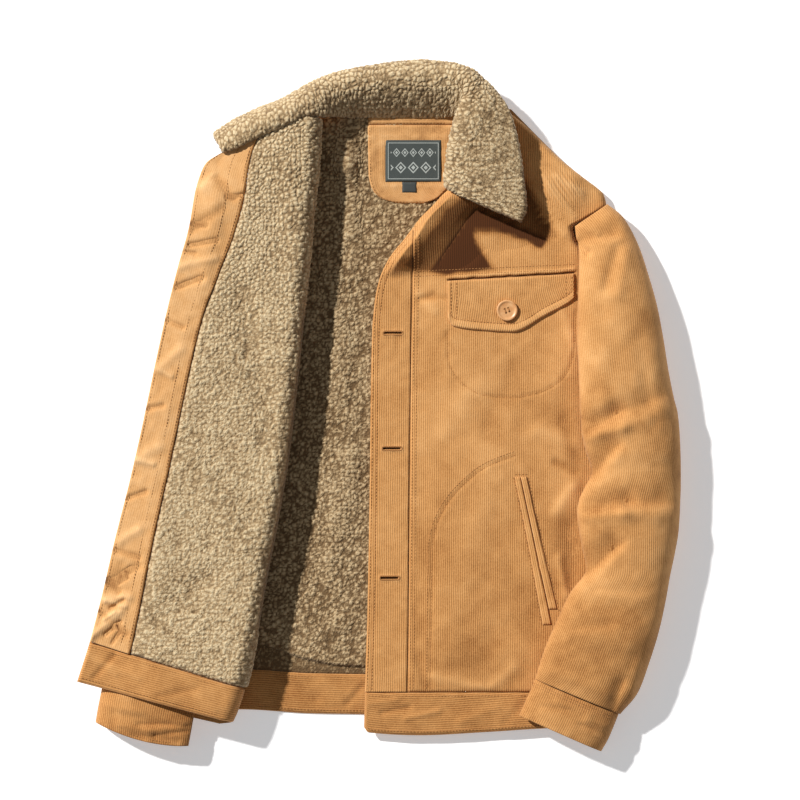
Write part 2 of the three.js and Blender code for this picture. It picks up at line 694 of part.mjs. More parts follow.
const rightBandLow = (u, row) => -BAND + 1.0 * ease((-0.66 - row) / 0.34);
const rightBandHigh = (u, row) => -1.0 * ease((-0.66 - row) / 0.34);
add('hem_band_right', ply(foldedSheet, [...rollIn, 0.34, 0.67, 1, ...foldTurn, ...steps(2, 3, 9).slice(1)],
  [-1, -0.87, -0.66, -0.33, 0], rightBandLow, rightBandHigh), CORDUROY);
FRONT_BUTTON_ROWS.forEach((row, index) => {
  const share = 1 - 20 / Math.abs(foldedSheet(3, row).x - foldedSheet(2, row).x);
  const centre = foldedSheet(2 + share, row);
  const step = 1e-3;
  const along = foldedSheet(2 + share + step, row).sub(foldedSheet(2 + share - step, row));
  const up = foldedSheet(2 + share, row + step).sub(foldedSheet(2 + share, row - step));
  const normal = along.cross(up).normalize();
  const turn = new THREE.Quaternion().setFromUnitVectors(vec(0, 0, 1), normal);
  const geometry = toGeometry(button(20));
  geometry.applyQuaternion(turn);
  centre.addScaledVector(normal, SEAM + 0.2);
  geometry.translate(centre.x, centre.y, centre.z);
  add(`button_${index + 1}`, geometry, 0xd9a26b, 0.45);
});

// Right sleeve and cuff.
add('sleeve_right', sleeve(RIGHT_SLEEVE, 22, SLEEVE_WALL - 1.5, true), CORDUROY);
add('cuff_right', sleeve(RIGHT_CUFF, 22, CUFF_WALL, false), CORDUROY);

// Collar: pile on top, corduroy under it.
const stations = [0, 0.5, 1, 2, 3, 4, 5, 6, 7, 8, 9, 10, 10.5, 11, 11.5, 12, 12.5, 13, 14, 15, 16, 16.5, 17];
add('collar_top', ply(collarSheet, stations, steps(0, 1, 7), SEAM / 2, SEAM / 2 + PILE), SHERPA, 1.0);
add('collar_under', ply(collarSheet, stations, steps(0, 1, 7), -SEAM / 2 - SHELL, -SEAM / 2), CORDUROY);

export default jacket;
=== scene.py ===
"""Sherpa lined corduroy jacket, laid flat with its right front folded back.

Lengths are millimetres in the garment's own frame, the same as in the part's source, and become metres
when a mesh is made. +X is towards the wearer's left, +Y towards the collar, +Z up from the floor.
"""
import math

import bmesh
import bpy
import numpy as np
from mathutils import Matrix, Vector


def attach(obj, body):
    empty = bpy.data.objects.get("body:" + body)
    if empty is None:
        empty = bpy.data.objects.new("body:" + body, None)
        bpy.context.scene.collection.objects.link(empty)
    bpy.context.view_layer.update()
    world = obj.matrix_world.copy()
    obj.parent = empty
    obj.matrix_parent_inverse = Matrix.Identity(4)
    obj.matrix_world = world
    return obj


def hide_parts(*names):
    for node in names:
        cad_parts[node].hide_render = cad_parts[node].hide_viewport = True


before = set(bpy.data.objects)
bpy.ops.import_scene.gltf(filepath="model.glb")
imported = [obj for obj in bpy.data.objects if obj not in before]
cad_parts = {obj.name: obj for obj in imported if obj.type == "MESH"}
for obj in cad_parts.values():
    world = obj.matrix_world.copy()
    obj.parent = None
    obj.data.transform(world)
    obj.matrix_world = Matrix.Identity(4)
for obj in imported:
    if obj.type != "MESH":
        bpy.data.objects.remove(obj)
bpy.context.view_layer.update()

MM = 0.001
CENTRE = np.array([0.8, -0.7, 0.0])
COARSER = 1.0
UNDER = 4
UP = (0.0, 0.0, 1.0)

# Cloth thicknesses, gaps and heights, as in the frame.
SHELL = 1.6
PILE = 5.5
SEAM = 0.3
BAND = 4.6
MEET = 7.4
PUFF = 3.0
FLAP_THICK = 2.0
TAPE_THICK = 2.0
FRONT_TOP = 2 * MEET + SEAM
LINING_HIGH = -(SHELL + SEAM)
LINING_LOW = LINING_HIGH - PILE
LABEL_LOW = 2 * SEAM + SHELL
FOLD_RADIUS = 11.7
FOLD_LEAN = 0.155
UPPER_RUN = FRONT_TOP + 2 * FOLD_RADIUS
PLACKET = (-3.9, -0.3)
FACING = (-5.9, -4.2)
SLEEVE_WALL = 6.0
CUFF_WALL = 3.5

# Heights that only the scene shows: the neck edge's swell, the lifted leaf and the hollow below it.
NECK_SWELL = 21.0
LEAF_LIFT = 9.0
LEAF_HOLLOW = 6.0

# Ends and edges that several pieces share, buttonholes and buttons.
HEM = -362
BAND_TOP = -317.3
COLLAR_SEAM = 325
FLAP_ENDS = (76, 215.5)
FOLD_ROWS = (0.008, 11)
PILE_MARGIN = 0.003
BUTTONHOLE = (19.0, 2.2)
BUTTONHOLES = [(15.8, 78.0), (14.9, -49.0), (12.2, -191.5)]
FLAP_BUTTON = (141.4, 103.0)
BUTTON_ROWS = (1.65, 4.05, 6.3)
BUTTON_INSET = 20
BUTTON_RADIUS = 11.5
BUTTON_DEPTH = 3.2

# Scales of the materials, the pile's edge and the painted shade in the folds.
WALE = 2.4
CURL = 4.5
PILE_EDGE = 5.0
RAGGED = 1.4
FOLD_SHADE = 0.034
STITCH = 2.7
STITCH_PITCH = 3.6

# Camera, in metres: it looks straight down and frames VIEW_WIDTH at VIEW_LEVEL above the floor.
CAMERA = (0.02285, 0.0051, 6.0)
VIEW_LEVEL = 0.02
VIEW_WIDTH = 0.88


class Table:
    """A table with named columns, read between its rows by a smooth curve that never overshoots."""

    def __init__(self, columns, rows):
        data = np.array(rows, float)
        self.key = data[:, 0]
        for index, name in enumerate(columns.split()[1:], 1):
            setattr(self, name, self.reader(data[:, index]))

    def reader(self, value):
        key = self.key
        span = np.diff(key)
        slope = np.diff(value) / span
        product = slope[:-1] * slope[1:]
        total = np.where(product > 0, slope[:-1] + slope[1:], 1.0)
        inner = np.where(product > 0, 2 * product / total, 0.0)
        tangent = np.concatenate([slope[:1], inner, slope[-1:]])

        def read(at):
            at = np.clip(at, key[0], key[-1])
            i = np.clip(np.searchsorted(key, at, side="right") - 1, 0, len(span) - 1)
            t = (at - key[i]) / span[i]
            a, b = value[i], value[i + 1]
            ends = a * (1 + 2 * t) * (1 - t) ** 2 + b * t * t * (3 - 2 * t)
            return ends + span[i] * t * (1 - t) * ((1 - t) * tangent[i] - t * tangent[i + 1])

        return read


def mix(a, b, t):
    return a + (b - a) * t


def ease(t):
    s = np.clip(t, 0, 1)
    return s * s * (3 - 2 * s)


def plateau(at, start, end, rise, fall):
    """1 between a start and an end, eased to 0 over rise and fall inside them."""
    return ease((at - start) / rise) * ease((end - at) / fall)


def bell(away, width):
    """1 at a crest, falling off smoothly on both sides."""
    return np.exp(-((away / width) ** 2))


def unit(vectors):
    return vectors / np.linalg.norm(vectors, axis=-1, keepdims=True)


def plan(points):
    """The x and y of an array of points."""
    return points[..., 0], points[..., 1]


def stack(x, y, z):
    x, y, z = np.broadcast_arrays(x, y, z)
    return np.stack([x, y, z], axis=-1).astype(float)


# ---- tables of the garment's shape ----

LEFT_FRONT = Table("y edge seam facing neck side", [
    [-362, -16, 31.5, 36, 31.8, 254],
    [-317, -15, 31.8, 36, 32.1, 255],
    [-216, -12, 33, 37, 33.3, 261],
    [-106, -10, 34, 38, 34.3, 268],
    [-31, -9, 34.6, 39, 34.9, 274.5],
    [21, -8.4, 35.2, 39.5, 35.5, 262],
    [81, -7, 36.2, 41, 36.5, 247],
    [114, -4, 36.8, 43, 37.1, 236],
    [136, 0.5, 37, 46, 37.3, 233],
    [156, 9, 37.2, 52, 37.5, 228],
    [167, 16, 37.4, 57, 37.7, 225],
    [180, 27, 37.6, 65, 37.9, 218],
    [194, 37.5, 38, 75, 38.6, 215],
    [205, 46, 46, 84, 46, 230],
    [214, 55, 55, 92, 55, 246],
    [219, 60, 60, 96, 60, 251],
    [231, 71, 71, 106, 71, 248],
    [239, 80, 80, 112, 80, 240],
    [245, 83, 83, 114, 84, 232],
    [264, 90, 90, 118, 91, 207],
    [280, 93, 93, 118, 93.5, 190],
    [301, 94, 94, 114, 94.5, 169],
    [321, 87, 87, 110, 88, 145],
])
BACK = Table("y left right", [
    [-362, -235, 254],
    [-317, -234, 255],
    [-216, -232, 261],
    [-106, -229, 268],
    [-31, -227, 274.5],
    [21, -211, 262],
    [81, -198, 247],
    [136, -190, 233],
    [180, -184, 218],
    [208, -172, 238],
    [219, -163, 251],
    [245, -138, 232],
    [264, -118, 207],
    [301, -80, 169],
    [320, -60, 146],
])
HEM_RISE = Table("x rise", [
    [-235, 21],
    [-151, 25],
    [-75, 20.5],
    [-17, 19.5],
    [40, 17],
    [120, 12],
    [255, 0],
])
LEFT_HEM = Table("x y", [
    [-16, -356],
    [-11, -362],
    [45, -365],
    [118, -361.5],
    [182, -357.5],
    [254, -355],
])
RIGHT_FRONT = Table("row sideX sideY foldX foldY edgeX edgeY pile", [
    [-1, -235, -340, -156, -352, -331, -305, 0.71],
    [0, -234, -296, -144, -314, -317, -261, 0.71],
    [1, -232.5, -248, -133, -260, -303, -209, 0.72],
    [2, -231, -190, -122, -196, -288, -146, 0.73],
    [3, -229, -126, -109, -129, -272, -84, 0.74],
    [4, -227.5, -56, -97, -56, -257, -18, 0.74],
    [5, -216, 4, -90, 4, -244, 44, 0.73],
    [6, -203, 59, -84, 59, -232, 99, 0.71],
    [7, -193, 114, -79, 114, -219, 151, 0.65],
    [8, -187, 160, -74, 166, -207, 194, 0.58],
    [9, -173, 206, -69, 219, -199, 238, 0.53],
    [10, -140, 250, -64, 268, -189, 264, 0.54],
    [11, -112, 288, -62, 312, -170, 276, 0.56],
])
BODY_LEFT = Table("y x", [
    [-362, -235],
    [-296, -234],
    [-126, -229],
    [-31, -226],
    [21, -211],
    [81, -198],
    [136, -190],
    [206, -173],
    [252, -130],
    [297, -86],
])
RING = "ring lx ly rx ry crest lz rz bow"
LEFT_SLEEVE = Table(RING, [
    [0, 216, 195.5, 252, 220, 25, 22, 17, 0],
    [1, 217, 185, 268, 207, 34, 25, 17, 0],
    [2, 220.5, 166, 286, 175, 42, 28, 17, 0],
    [3, 220, 140, 297, 142, 48, 31, 19, 0],
    [4, 219, 108, 306, 110, 52, 33, 20, 0],
    [5, 218.5, 70, 313, 74, 54, 34, 21, 0],
    [6, 220, 30, 319, 36, 55, 34, 22, 0],
    [7, 221, 0, 325, 6, 55, 34, 22, 0],
    [8, 222, -18, 329, -10, 53, 33, 22, 0],
    [9, 223, -31, 331, -30, 55, 33, 22, 0],
    [10, 227, -50, 332, -50, 55.5, 33, 22, 0],
    [11, 234, -74, 332.5, -70, 53, 32, 21, 0],
    [12, 226, -92, 332.5, -90, 53, 33, 21, 0],
    [13, 220, -106, 332, -104, 53, 33, 21, 0],
    [14, 218, -118, 331.5, -118, 54.5, 33, 21, 0],
    [15, 220, -138, 330, -140, 54.5, 33, 21, 0],
    [16, 224, -160, 326, -164, 53, 32, 21, 0],
    [17, 228, -181, 321, -188, 51.5, 31, 20, 0],
    [18, 210, -208, 316, -216, 52.5, 33, 20, 0],
    [19, 196, -237, 309, -248, 53, 33, 20, 0],
    [20, 182, -270, 298, -284, 50, 32, 20, 0],
    [21, 175, -292, 285, -318, 46.5, 31, 20, 0],
    [22, 172, -302, 266, -341, 42.5, 30, 19, 0],
])
LEFT_CUFF = Table(RING, [
    [0, 171.5, -302.9, 264, -341.4, 40, 29, 18, 0],
    [1, 167, -314, 259, -354, 42, 29, 19, 0],
    [2, 160, -329, 252.5, -369, 42, 29, 19, 0],
    [3, 154.5, -342, 245, -382, 40.5, 29, 19, 0],
])
RIGHT_SLEEVE = Table(RING, [
    [0, -173, 199, -136, 216, 24, 17, 19, 0],
    [1, -186, 182, -124, 192, 30, 18, 22, 0],
    [2, -205, 150, -114, 156, 35.5, 19, 24, 0],
    [3, -220, 105, -109, 110, 36.8, 19, 25, 0],
    [4, -230, 50, -114, 52, 37, 19, 25, 0],
    [5, -240, -10, -123, -8, 37, 18, 25, 0],
    [6, -253, -70, -140, -68, 37, 18, 25, 0],
    [7, -267, -130, -156, -130, 36.6, 17, 25, 0],
    [8, -281, -190, -170, -194, 36, 16, 25, 0],
    [9, -294, -250, -186, -258, 35, 15, 25, 0],
    [10, -301, -290, -194, -306, 34, 15, 24, 0],
    [11, -303, -305, -198, -330, 33, 15, 23, 0],
])
RIGHT_CUFF = Table(RING, [
    [0, -303.2, -305.8, -200, -330.6, 32, 15, 22, 0],
    [1, -306, -320, -203, -344, 32.5, 16, 23, 0],
    [2, -309, -335, -206, -360, 32, 16, 22, 4],
    [3, -311.5, -350, -209, -376, 31, 16, 21, 7],
])
COLLAR = Table("station ax ay az mx my mz bx by bz", [
    [0, -172, 278, 38, -177, 287, 33, -181, 293, 15],
    [1, -158, 283.5, 39, -161, 296, 36, -162, 307, 13],
    [2, -131, 297, 41, -134, 310, 39, -135, 319, 12],
    [3, -100, 310.5, 43, -102, 323, 41, -103, 333, 13],
    [4, -80, 320, 43, -83, 333, 41, -84, 343, 14],
    [5, -62, 321, 37, -64, 341, 38, -66, 353, 17],
    [6, -46, 322.5, 24, -46, 344, 35, -46, 361, 22],
    [7, -26, 323.5, 14, -24, 346, 34, -22, 367, 24],
    [8, 3, 323.5, 10.6, 4, 347, 33, 5, 372, 24],
    [9, 40, 323.5, 10.6, 44, 349, 33, 48, 376, 25],
    [10, 68, 323.5, 11, 75, 348, 34, 78, 373, 27],
    [11, 88, 325, 20, 93, 347, 39, 101, 365, 30],
    [12, 99, 313, 21, 97, 336, 41, 122, 348, 31],
    [13, 100, 298, 21, 90, 315, 41, 142, 325, 30],
    [14, 98, 280, 21, 83.5, 287, 39, 154, 287, 28],
    [15, 95, 262, 21, 81, 262, 36, 160, 248, 27],
    [16, 91, 248, 21, 80, 244, 33, 163, 216, 27],
    [17, 89, 242, 21, 84, 234, 29, 157, 199, 27],
])
COLLAR_MIDDLE = 0.42
FLAP = Table("x top bottom", [
    [76, 135.5, 95],
    [83, 136, 85],
    [112, 137.5, 81],
    [147, 139.5, 79],
    [183, 141.5, 97],
    [210, 143, 112],
    [215.5, 143.5, 117],
])
WELTS = Table("y front slit side", [
    [-244, 181, 191, 201],
    [-160, 166, 173, 181],
    [-80, 150, 156, 163],
])
NECK_PATCH = Table("y left right", [
    [221, 22, 48],
    [225.5, 5, 62],
    [232, -4, 71],
    [240, -8.5, 78],
    [253, -11, 83],
    [280, -11.5, 85],
    [307.6, -12, 85.5],
])
NECK_TAPE = (-12, 308, 86, 323)
LABEL = (7.5, 244.9, 69, 290.8)
SIZE_TAG = (26, 233, 42, 244.5)

# Creases: start x, start y, end x, end y, width, rise.
FRONT_CREASES = [
    [186, 236, 214, 196, 10, 2.2],
    [170, 262, 228, 232, 14, 3.0],
    [152, 226, 200, 170, 12, -1.6],
    [120, 190, 60, 160, 18, 1.2],
    [212, -136, 216, -196, 12, -3.0],
    [128, -250, 108, -300, 16, -1.4],
    [92, -180, 128, -60, 22, 1.0],
    [60, 60, 64, -60, 18, -1.0],
    [206, 64, 190, 10, 14, 1.4],
]
LINING_CREASES = [
    [-29, 317, -35, 262, 9, 5.0],
    [-35, 262, -30, 190, 8, 2.5],
    [-48, 150, -40, 20, 14, 1.8],
    [-30, -60, -60, -190, 16, 2.2],
    [-40, -240, -90, -262, 12, 1.6],
]
FOLDED_CREASES = [
    [-100, 262, -92, 150, 12, 1.6],
    [-150, 120, -120, -40, 16, -2.4],
    [-210, -60, -150, -150, 14, 1.8],
    [-190, -190, -240, -236, 14, -1.8],
    [-176, 236, -190, 130, 9, 1.6],
]
# Finer creases that only the scene shows.
FRONT_FINE = [
    [215, -152, 213, -196, 15, -1.3],
    [118, 118, 4, 116, 3.0, -0.7],
    [96, 112, 110, 96, 4.0, 0.8],
    [6, 80, 34, 92, 5, 0.8],
    [36, 126, 62, 102, 5, 1.2],
    [30, 108, 60, 120, 4, -1.2],
    [181, 250, 216, 206, 3.2, 0.9],
    [176, 240, 212, 192, 3.0, -0.8],
    [170, 236, 204, 186, 3.2, 0.8],
    [162, 232, 194, 184, 3.4, -0.7],
    [196, 250, 236, 224, 3.6, 0.8],
    [186, 262, 222, 240, 3.6, -0.7],
    [196, 120, 216, 60, 6, 1.0],
    [205, -20, 216, -60, 8, -1.6],
    [196, -118, 214, -92, 7, 1.6],
    [176, -30, 214, -44, 9, 1.2],
    [196, -64, 216, -74, 5, -1.6],
    [120, -316, 150, -290, 7, 1.2],
    [60, -300, 110, -312, 6, 1.0],
    [44, -280, 52, -312, 5, -0.9],
    [206, -210, 198, -170, 5, 1.4],
    [70, -30, 110, 20, 12, 0.9],
    [150, 40, 120, -20, 12, -0.9],
]
SLEEVE_CREASES = [
    [226, -38, 268, -24, 7.0, 2.6],
    [268, -24, 326, -2, 9.0, 2.8],
    [226, -123, 270, -119, 7.5, 2.4],
    [270, -119, 328, -122, 9.0, 2.4],
    [262, 171, 248, 126, 6.0, -2.0],
    [274, 168, 262, 120, 7.0, 1.8],
    [222, 196, 240, 186, 4.0, 1.6],
    [219, 177, 229, 166, 4.0, -6.0],
    [222, 150, 246, 100, 7.0, -1.6],
    [300, 60, 312, -20, 9.0, 1.2],
    [286, 70, 296, 0, 9.0, -1.2],
    [240, 40, 250, 6, 8.0, 1.2],
    [230, -214, 290, -230, 12.0, -1.6],
    [214, -250, 280, -262, 12.0, 1.4],
    [284, -286, 276, -326, 6.0, 2.0],
    [190, -292, 250, -318, 6.0, 1.2],
]
# Sharp folds: start x, start y, end x, end y, width on the left, width on the right, rise.
SLEEVE_FOLDS = [
    [221, -34, 272, -4, 13, 5.2, -4.5],
    [250, -12, 322, 14, 14, 7, -2.4],
    [266, -38, 230, -82, 6.0, 20, -6.1],
    [219, -117, 284, -106, 16, 5.4, -4.7],
    [262, -107, 326, -106, 15, 7, -2.8],
    [272, -145, 222, -191, 6.0, 20, -6.1],
    [214, 179, 268, 188, 13, 5.0, -5.6],
    [269, -298, 255, -342, 4.6, 9, -3.6],
    [224, -200, 300, -206, 13, 7, -2.4],
    [205, -246, 262, -240, 11, 5, -1.6],
]
CUFF_CREASES = [
    [178, -332, 214, -336, 3.0, -1.0],
    [196, -326, 232, -342, 3.5, 1.0],
    [222, -352, 252, -364, 3.0, -1.6],
    [228, -346, 258, -356, 3.5, 1.4],
    [-290, -340, -230, -352, 4.0, -1.2],
    [-286, -352, -236, -362, 3.5, 1.3],
    [-262, -352, -206, -354, 2.6, -2.4],
    [-252, -357, -214, -353, 2.8, 1.5],
    [-246, -364, -206, -359, 2.4, -2.2],
    [-270, -364, -220, -370, 3.0, -1.2],
    [-300, -330, -262, -338, 4.0, 1.0],
]
FACING_CREASES = [
    [-281, -188, -271, -180, 2.0, -1.7],
    [-287, -198, -275, -191, 2.2, -1.6],
    [-299, -253, -282, -239, 2.2, -1.8],
    [-291, -262, -283, -250, 2.0, -1.6],
    [-293, -224, -278, -215, 2.2, -1.5],
    [-300, -236, -288, -228, 2.4, 1.4],
    [-166, 226, -149, 229, 2.6, -1.6],
    [-208, 199, -188, 195, 3.0, -1.5],
    [-205, 174, -179, 179, 3.2, -1.7],
    [-213, 167, -200, 165, 2.4, -1.2],
    [-220, 128, -193, 138, 3.4, -1.8],
    [-176, 246, -160, 226, 5.0, -1.5],
    [-190, 236, -180, 246, 7.0, 1.3],
    [-232, 92, -214, 84, 3.0, -1.3],
    [-246, 40, -226, 30, 3.2, 1.3],
    [-256, -6, -236, -2, 3.0, -1.5],
    [-268, -60, -246, -66, 3.4, 1.4],
    [-276, -104, -254, -96, 3.0, -1.5],
    [-290, -160, -262, -168, 3.4, -1.4],
    [-300, -190, -284, -206, 3.4, -1.7],
    [-298, -216, -276, -222, 3.0, 1.5],
    [-316, -256, -282, -228, 4.5, 1.6],
    [-308, -226, -276, -252, 4.0, -1.4],
    [-300, -214, -272, -212, 5.0, 1.4],
    [-296, -196, -262, -178, 4.5, -1.3],
    [-282, -150, -262, -138, 5.0, 1.2],
    [-262, -60, -240, -46, 6.0, 1.0],
    [-238, 40, -216, 60, 6.0, 1.1],
    [-216, 150, -178, 160, 5.0, 1.2],
    [-204, 190, -170, 216, 5.0, -1.1],
]
LEFT_BAND_CREASES = [
    [4, -340, 34, -334, 3.0, -1.3],
    [30, -346, 66, -338, 3.2, 1.2],
    [-10, -330, 20, -326, 3.0, 0.8],
    [90, -350, 130, -334, 5.0, 0.8],
    [140, -350, 160, -330, 5.0, -0.8],
]
BACK_BAND_CREASES = [
    [-150, -300, -120, -330, 6.0, 1.4],
    [-110, -302, -70, -326, 7.0, -1.4],
    [-60, -306, -30, -322, 6.0, 1.2],
    [-34, -330, -18, -312, 4.0, -1.4],
]
RIGHT_BAND_CREASES = [
    [-322, -272, -288, -296, 4.0, 1.4],
    [-312, -300, -290, -276, 3.5, -1.4],
    [-300, -284, -262, -300, 4.0, 1.0],
    [-210, -300, -180, -334, 6.0, 0.9],
    [-240, -320, -200, -312, 4.0, -0.8],
]


def away_from(ends, x, y):
    """Distance from a segment, whose ends are four numbers."""
    x0, y0, x1, y1 = ends
    dx, dy = x1 - x0, y1 - y0
    along = np.clip(((x - x0) * dx + (y - y0) * dy) / (dx * dx + dy * dy), 0, 1)
    return np.hypot(x - x0 - along * dx, y - y0 - along * dy)


def distance_to(path, x, y):
    """Distance from a polyline."""
    best = np.full(np.broadcast(x, y).shape, 1e9)
    for near, far in zip(path[:-1], path[1:]):
        best = np.minimum(best, away_from((*near, *far), x, y))
    return best


def relief(creases, x, y):
    """Soft ridges and troughs along straight segments."""
    height = np.zeros(np.broadcast(x, y).shape)
    for *ends, width, rise in creases:
        height = height + rise * bell(away_from(ends, x, y), width)
    return height


def folds(rows, x, y):
    """Folds along segments, each with its own width on either side, fading at both ends."""
    height = np.zeros(np.broadcast(x, y).shape)
    for x0, y0, x1, y1, left, right, rise in rows:
        dx, dy = x1 - x0, y1 - y0
        length = math.hypot(dx, dy)
        along = ((x - x0) * dx + (y - y0) * dy) / length
        away = ((y - y0) * dx - (x - x0) * dy) / length
        fade = plateau(along, -4, length + 4, 0.3 * length, 0.3 * length)
        height = height + rise * bell(away, np.where(away > 0, left, right)) * fade
    return height


def scatter(ix, iy, seed):
    """A repeatable number from 0 to 1 for each whole-number cell."""
    h = (ix.astype(np.int64) * 374761393 + iy.astype(np.int64) * 668265263 + seed * 144269) & 0xFFFFFFFF
    h = ((h ^ (h >> 13)) * 1274126177) & 0xFFFFFFFF
    return ((h ^ (h >> 16)) & 0xFFFFFF) / float(0x1000000)


def noise(x, y, scale, seed):
    """Smooth noise from -1 to 1 with features about scale millimetres across."""
    x, y = np.broadcast_arrays(np.asarray(x, float) / scale, np.asarray(y, float) / scale)
    ix, iy = np.floor(x), np.floor(y)
    tx, ty = ease(x - ix), ease(y - iy)
    low = mix(scatter(ix, iy, seed), scatter(ix + 1, iy, seed), tx)
    high = mix(scatter(ix, iy + 1, seed), scatter(ix + 1, iy + 1, seed), tx)
    return 2 * mix(low, high, ty) - 1


def curls(points, seed):
    """Curly pile: rounded clumps with crevices between them, 0 at a crevice and 1 at a clump's top."""
    x, y, z = (points[..., k] for k in range(3))
    bent_x = x + 0.9 * noise(x + 0.6 * z, y, 3.4, seed + 5)
    bent_y = y + 0.9 * noise(x, y + 0.6 * z, 3.4, seed + 6)
    place = [axis / CURL for axis in (bent_x, bent_y, z)]
    nearest = np.full(x.shape, 9.0)
    second = np.full(x.shape, 9.0)
    for step in np.ndindex(3, 3, 3):
        cell = [np.floor(axis) + move - 1 for axis, move in zip(place, step)]
        row = cell[1] * 31 + cell[2] * 977
        square = 0.0
        for k in range(3):
            square = square + (place[k] - (cell[k] + 0.1 + 0.8 * scatter(cell[0], row, seed + k))) ** 2
        away = np.sqrt(square)
        second = np.minimum(second, np.maximum(nearest, away))
        nearest = np.minimum(nearest, away)
    dome = np.sqrt(np.clip(1 - (nearest / 1.05) ** 2, 0, 1))
    gap = ease((second - nearest) / 0.36)
    return np.clip(0.3 * dome + 0.7 * gap * (0.4 + 0.6 * dome), 0, 1)


def pile_height(points, seed):
    """Height of the pile above its mean, in mm, and a painted shade that goes with it: dark in the crevices,
    light on the clumps.
    """
    curl = curls(points, seed)
    across = points[..., 0] + 0.5 * points[..., 2]
    clump = noise(across, points[..., 1], 14, seed + 11)
    small = noise(across, points[..., 1], 5, seed + 12)
    return 2.0 * (curl - 0.55) + 0.6 * clump + 0.4 * small, np.clip(0.16 + 0.8 * curl + 0.06 * clump, 0, 1)


# ---- surfaces, the frame's own except for the neck edge's swell and the lifted leaf ----

def front_height(x, y):
    across = ease((x - LEFT_FRONT.neck(y) - 4) / 38) * ease((236 - x) / 26)
    along = plateau(y, -316, 318, 50, 60)
    return FRONT_TOP + (PUFF + relief(FRONT_CREASES, x, y)) * across * along


def rolled_end(y):
    return LEFT_FRONT.side(y) - MEET


def front_sheet(left, lower_edge=None):
    """u 0 to 1 across the flat, 1 to 2 down the rolled side."""

    def surface(u, y):
        x = mix(left(y), rolled_end(y), np.minimum(u, 1))
        row_y = lower_edge(x, y) if lower_edge else y
        turn = np.maximum(u - 1, 0) * math.pi / 2
        low = MEET + SEAM
        return stack(x + MEET * np.sin(turn), row_y, low + (front_height(x, row_y) - low) * np.cos(turn))

    return surface


def front_strip(left, right):
    return lambda u, y: stack(mix(left(y), right(y), u), y, FRONT_TOP)


def on_front(left, right):
    """A strip that follows the left front's own height."""

    def surface(u, y):
        x = mix(left(y), right(y), u)
        return stack(x, y, front_height(x, y))

    return surface


def left_band_row(x, y):
    return mix(BAND_TOP, LEFT_HEM.y(x), (BAND_TOP - y) / (BAND_TOP - HEM))


def back_y(x, y):
    return y + HEM_RISE.rise(x) * ease((-60 - y) / 250)


def back_sheet(u, y):
    """u 0 to 1 across the flat, beyond that up the rolled sides."""
    x = mix(BACK.left(y) + MEET, BACK.right(y) - MEET, np.clip(u, 0, 1))
    turn = np.maximum(0, np.maximum(-u, u - 1)) * math.pi / 2
    side = np.where(u < 0, -1, 1)
    return stack(x + side * MEET * np.sin(turn), back_y(x, y), MEET * (1 - np.cos(turn)))


def back_lining_sheet(u, y):
    """u is x itself, kept inside the back's outline."""
    inside = np.clip(u, BACK.left(y) + MEET + 1, BACK.right(y) - MEET - 1)
    x = inside + 0.02 * (u - inside)
    row_y = back_y(x, y)
    return stack(x, row_y, relief(LINING_CREASES, x, row_y) * ease((x + 72) / 22))


def outside_body(x, y):
    """How far a point lies beyond the body's sides and hem."""
    right = x - LEFT_FRONT.side(y)
    left = BODY_LEFT.x(y) - x
    return np.maximum(0, np.maximum(np.maximum(right, left), HEM - y))


def upper_height(x, y):
    away = np.maximum(0, BODY_LEFT.x(y) - x)
    return UPPER_RUN - 9.5 * ease(away / 80) + relief(FOLDED_CREASES, x, y)


def folded_sheet(u, row):
    """u -1 to 0 side roll, 0 to 1 lower run, 1 to 2 round the fold, 2 to 3 upper run."""
    side_x, side_y = RIGHT_FRONT.sideX(row) + MEET, RIGHT_FRONT.sideY(row)
    foot_x, foot_y = RIGHT_FRONT.foldX(row) - (FOLD_RADIUS - LINING_LOW), RIGHT_FRONT.foldY(row)
    roll = np.clip(-u, 0, 1) * math.pi / 2
    run = np.clip(u, 0, 1)
    low_x = mix(side_x, foot_x, run) - MEET * np.sin(roll)
    low_y = mix(side_y, foot_y, run)
    low_z = FRONT_TOP - MEET * (1 - np.cos(roll))
    turn = np.clip(u - 1, 0, 1) * math.pi
    climb = FOLD_RADIUS * turn * FOLD_LEAN
    fold_x = foot_x + FOLD_RADIUS * np.sin(turn) + climb * FOLD_LEAN
    fold_y = foot_y + climb
    fold_z = mix(FRONT_TOP, upper_height(fold_x, fold_y), 0.5 - 0.5 * np.cos(turn))
    t = np.clip(u - 2, 0, None)
    edge_x = mix(fold_x, RIGHT_FRONT.edgeX(row), t)
    edge_y = mix(fold_y, RIGHT_FRONT.edgeY(row), t)
    edge_z = upper_height(edge_x, edge_y)
    axes = [(low_x, fold_x, edge_x), (low_y, fold_y, edge_y), (low_z, fold_z, edge_z)]
    return stack(*(np.where(u <= 1, low, np.where(u <= 2, fold, edge)) for low, fold, edge in axes))


def pile_run(u, row):
    """The folded front as far as its pile reaches."""
    end = RIGHT_FRONT.pile(row) - PILE_MARGIN
    return folded_sheet(np.where(u <= 2, u, 2 + (u - 2) * end), row)


def placket_run(u, row):
    """The folded front from the pile's end to its edge."""
    return folded_sheet(2 + mix(RIGHT_FRONT.pile(row) + PILE_MARGIN, 1, u), row)


def turned(surface):
    """The same surface with its normal on the wearer's side. Its first coordinate changes sign."""
    return lambda u, v: surface(-u, v)


def collar_sheet(station, w):
    """A parabola across the collar, from its seam through its middle to its edge."""
    k = COLLAR_MIDDLE
    point = []
    for axis in "xyz":
        a, m, b = (getattr(COLLAR, part + axis)(station) for part in "amb")
        point.append(a * (w - k) * (w - 1) / k + m * w * (w - 1) / (k * (k - 1)) + b * w * (w - k) / (1 - k))
    leaf = ease((station - 11.5) / 2) * ease((w - 0.3) / 0.7)
    return stack(point[0], point[1], point[2] + LEAF_LIFT * leaf)


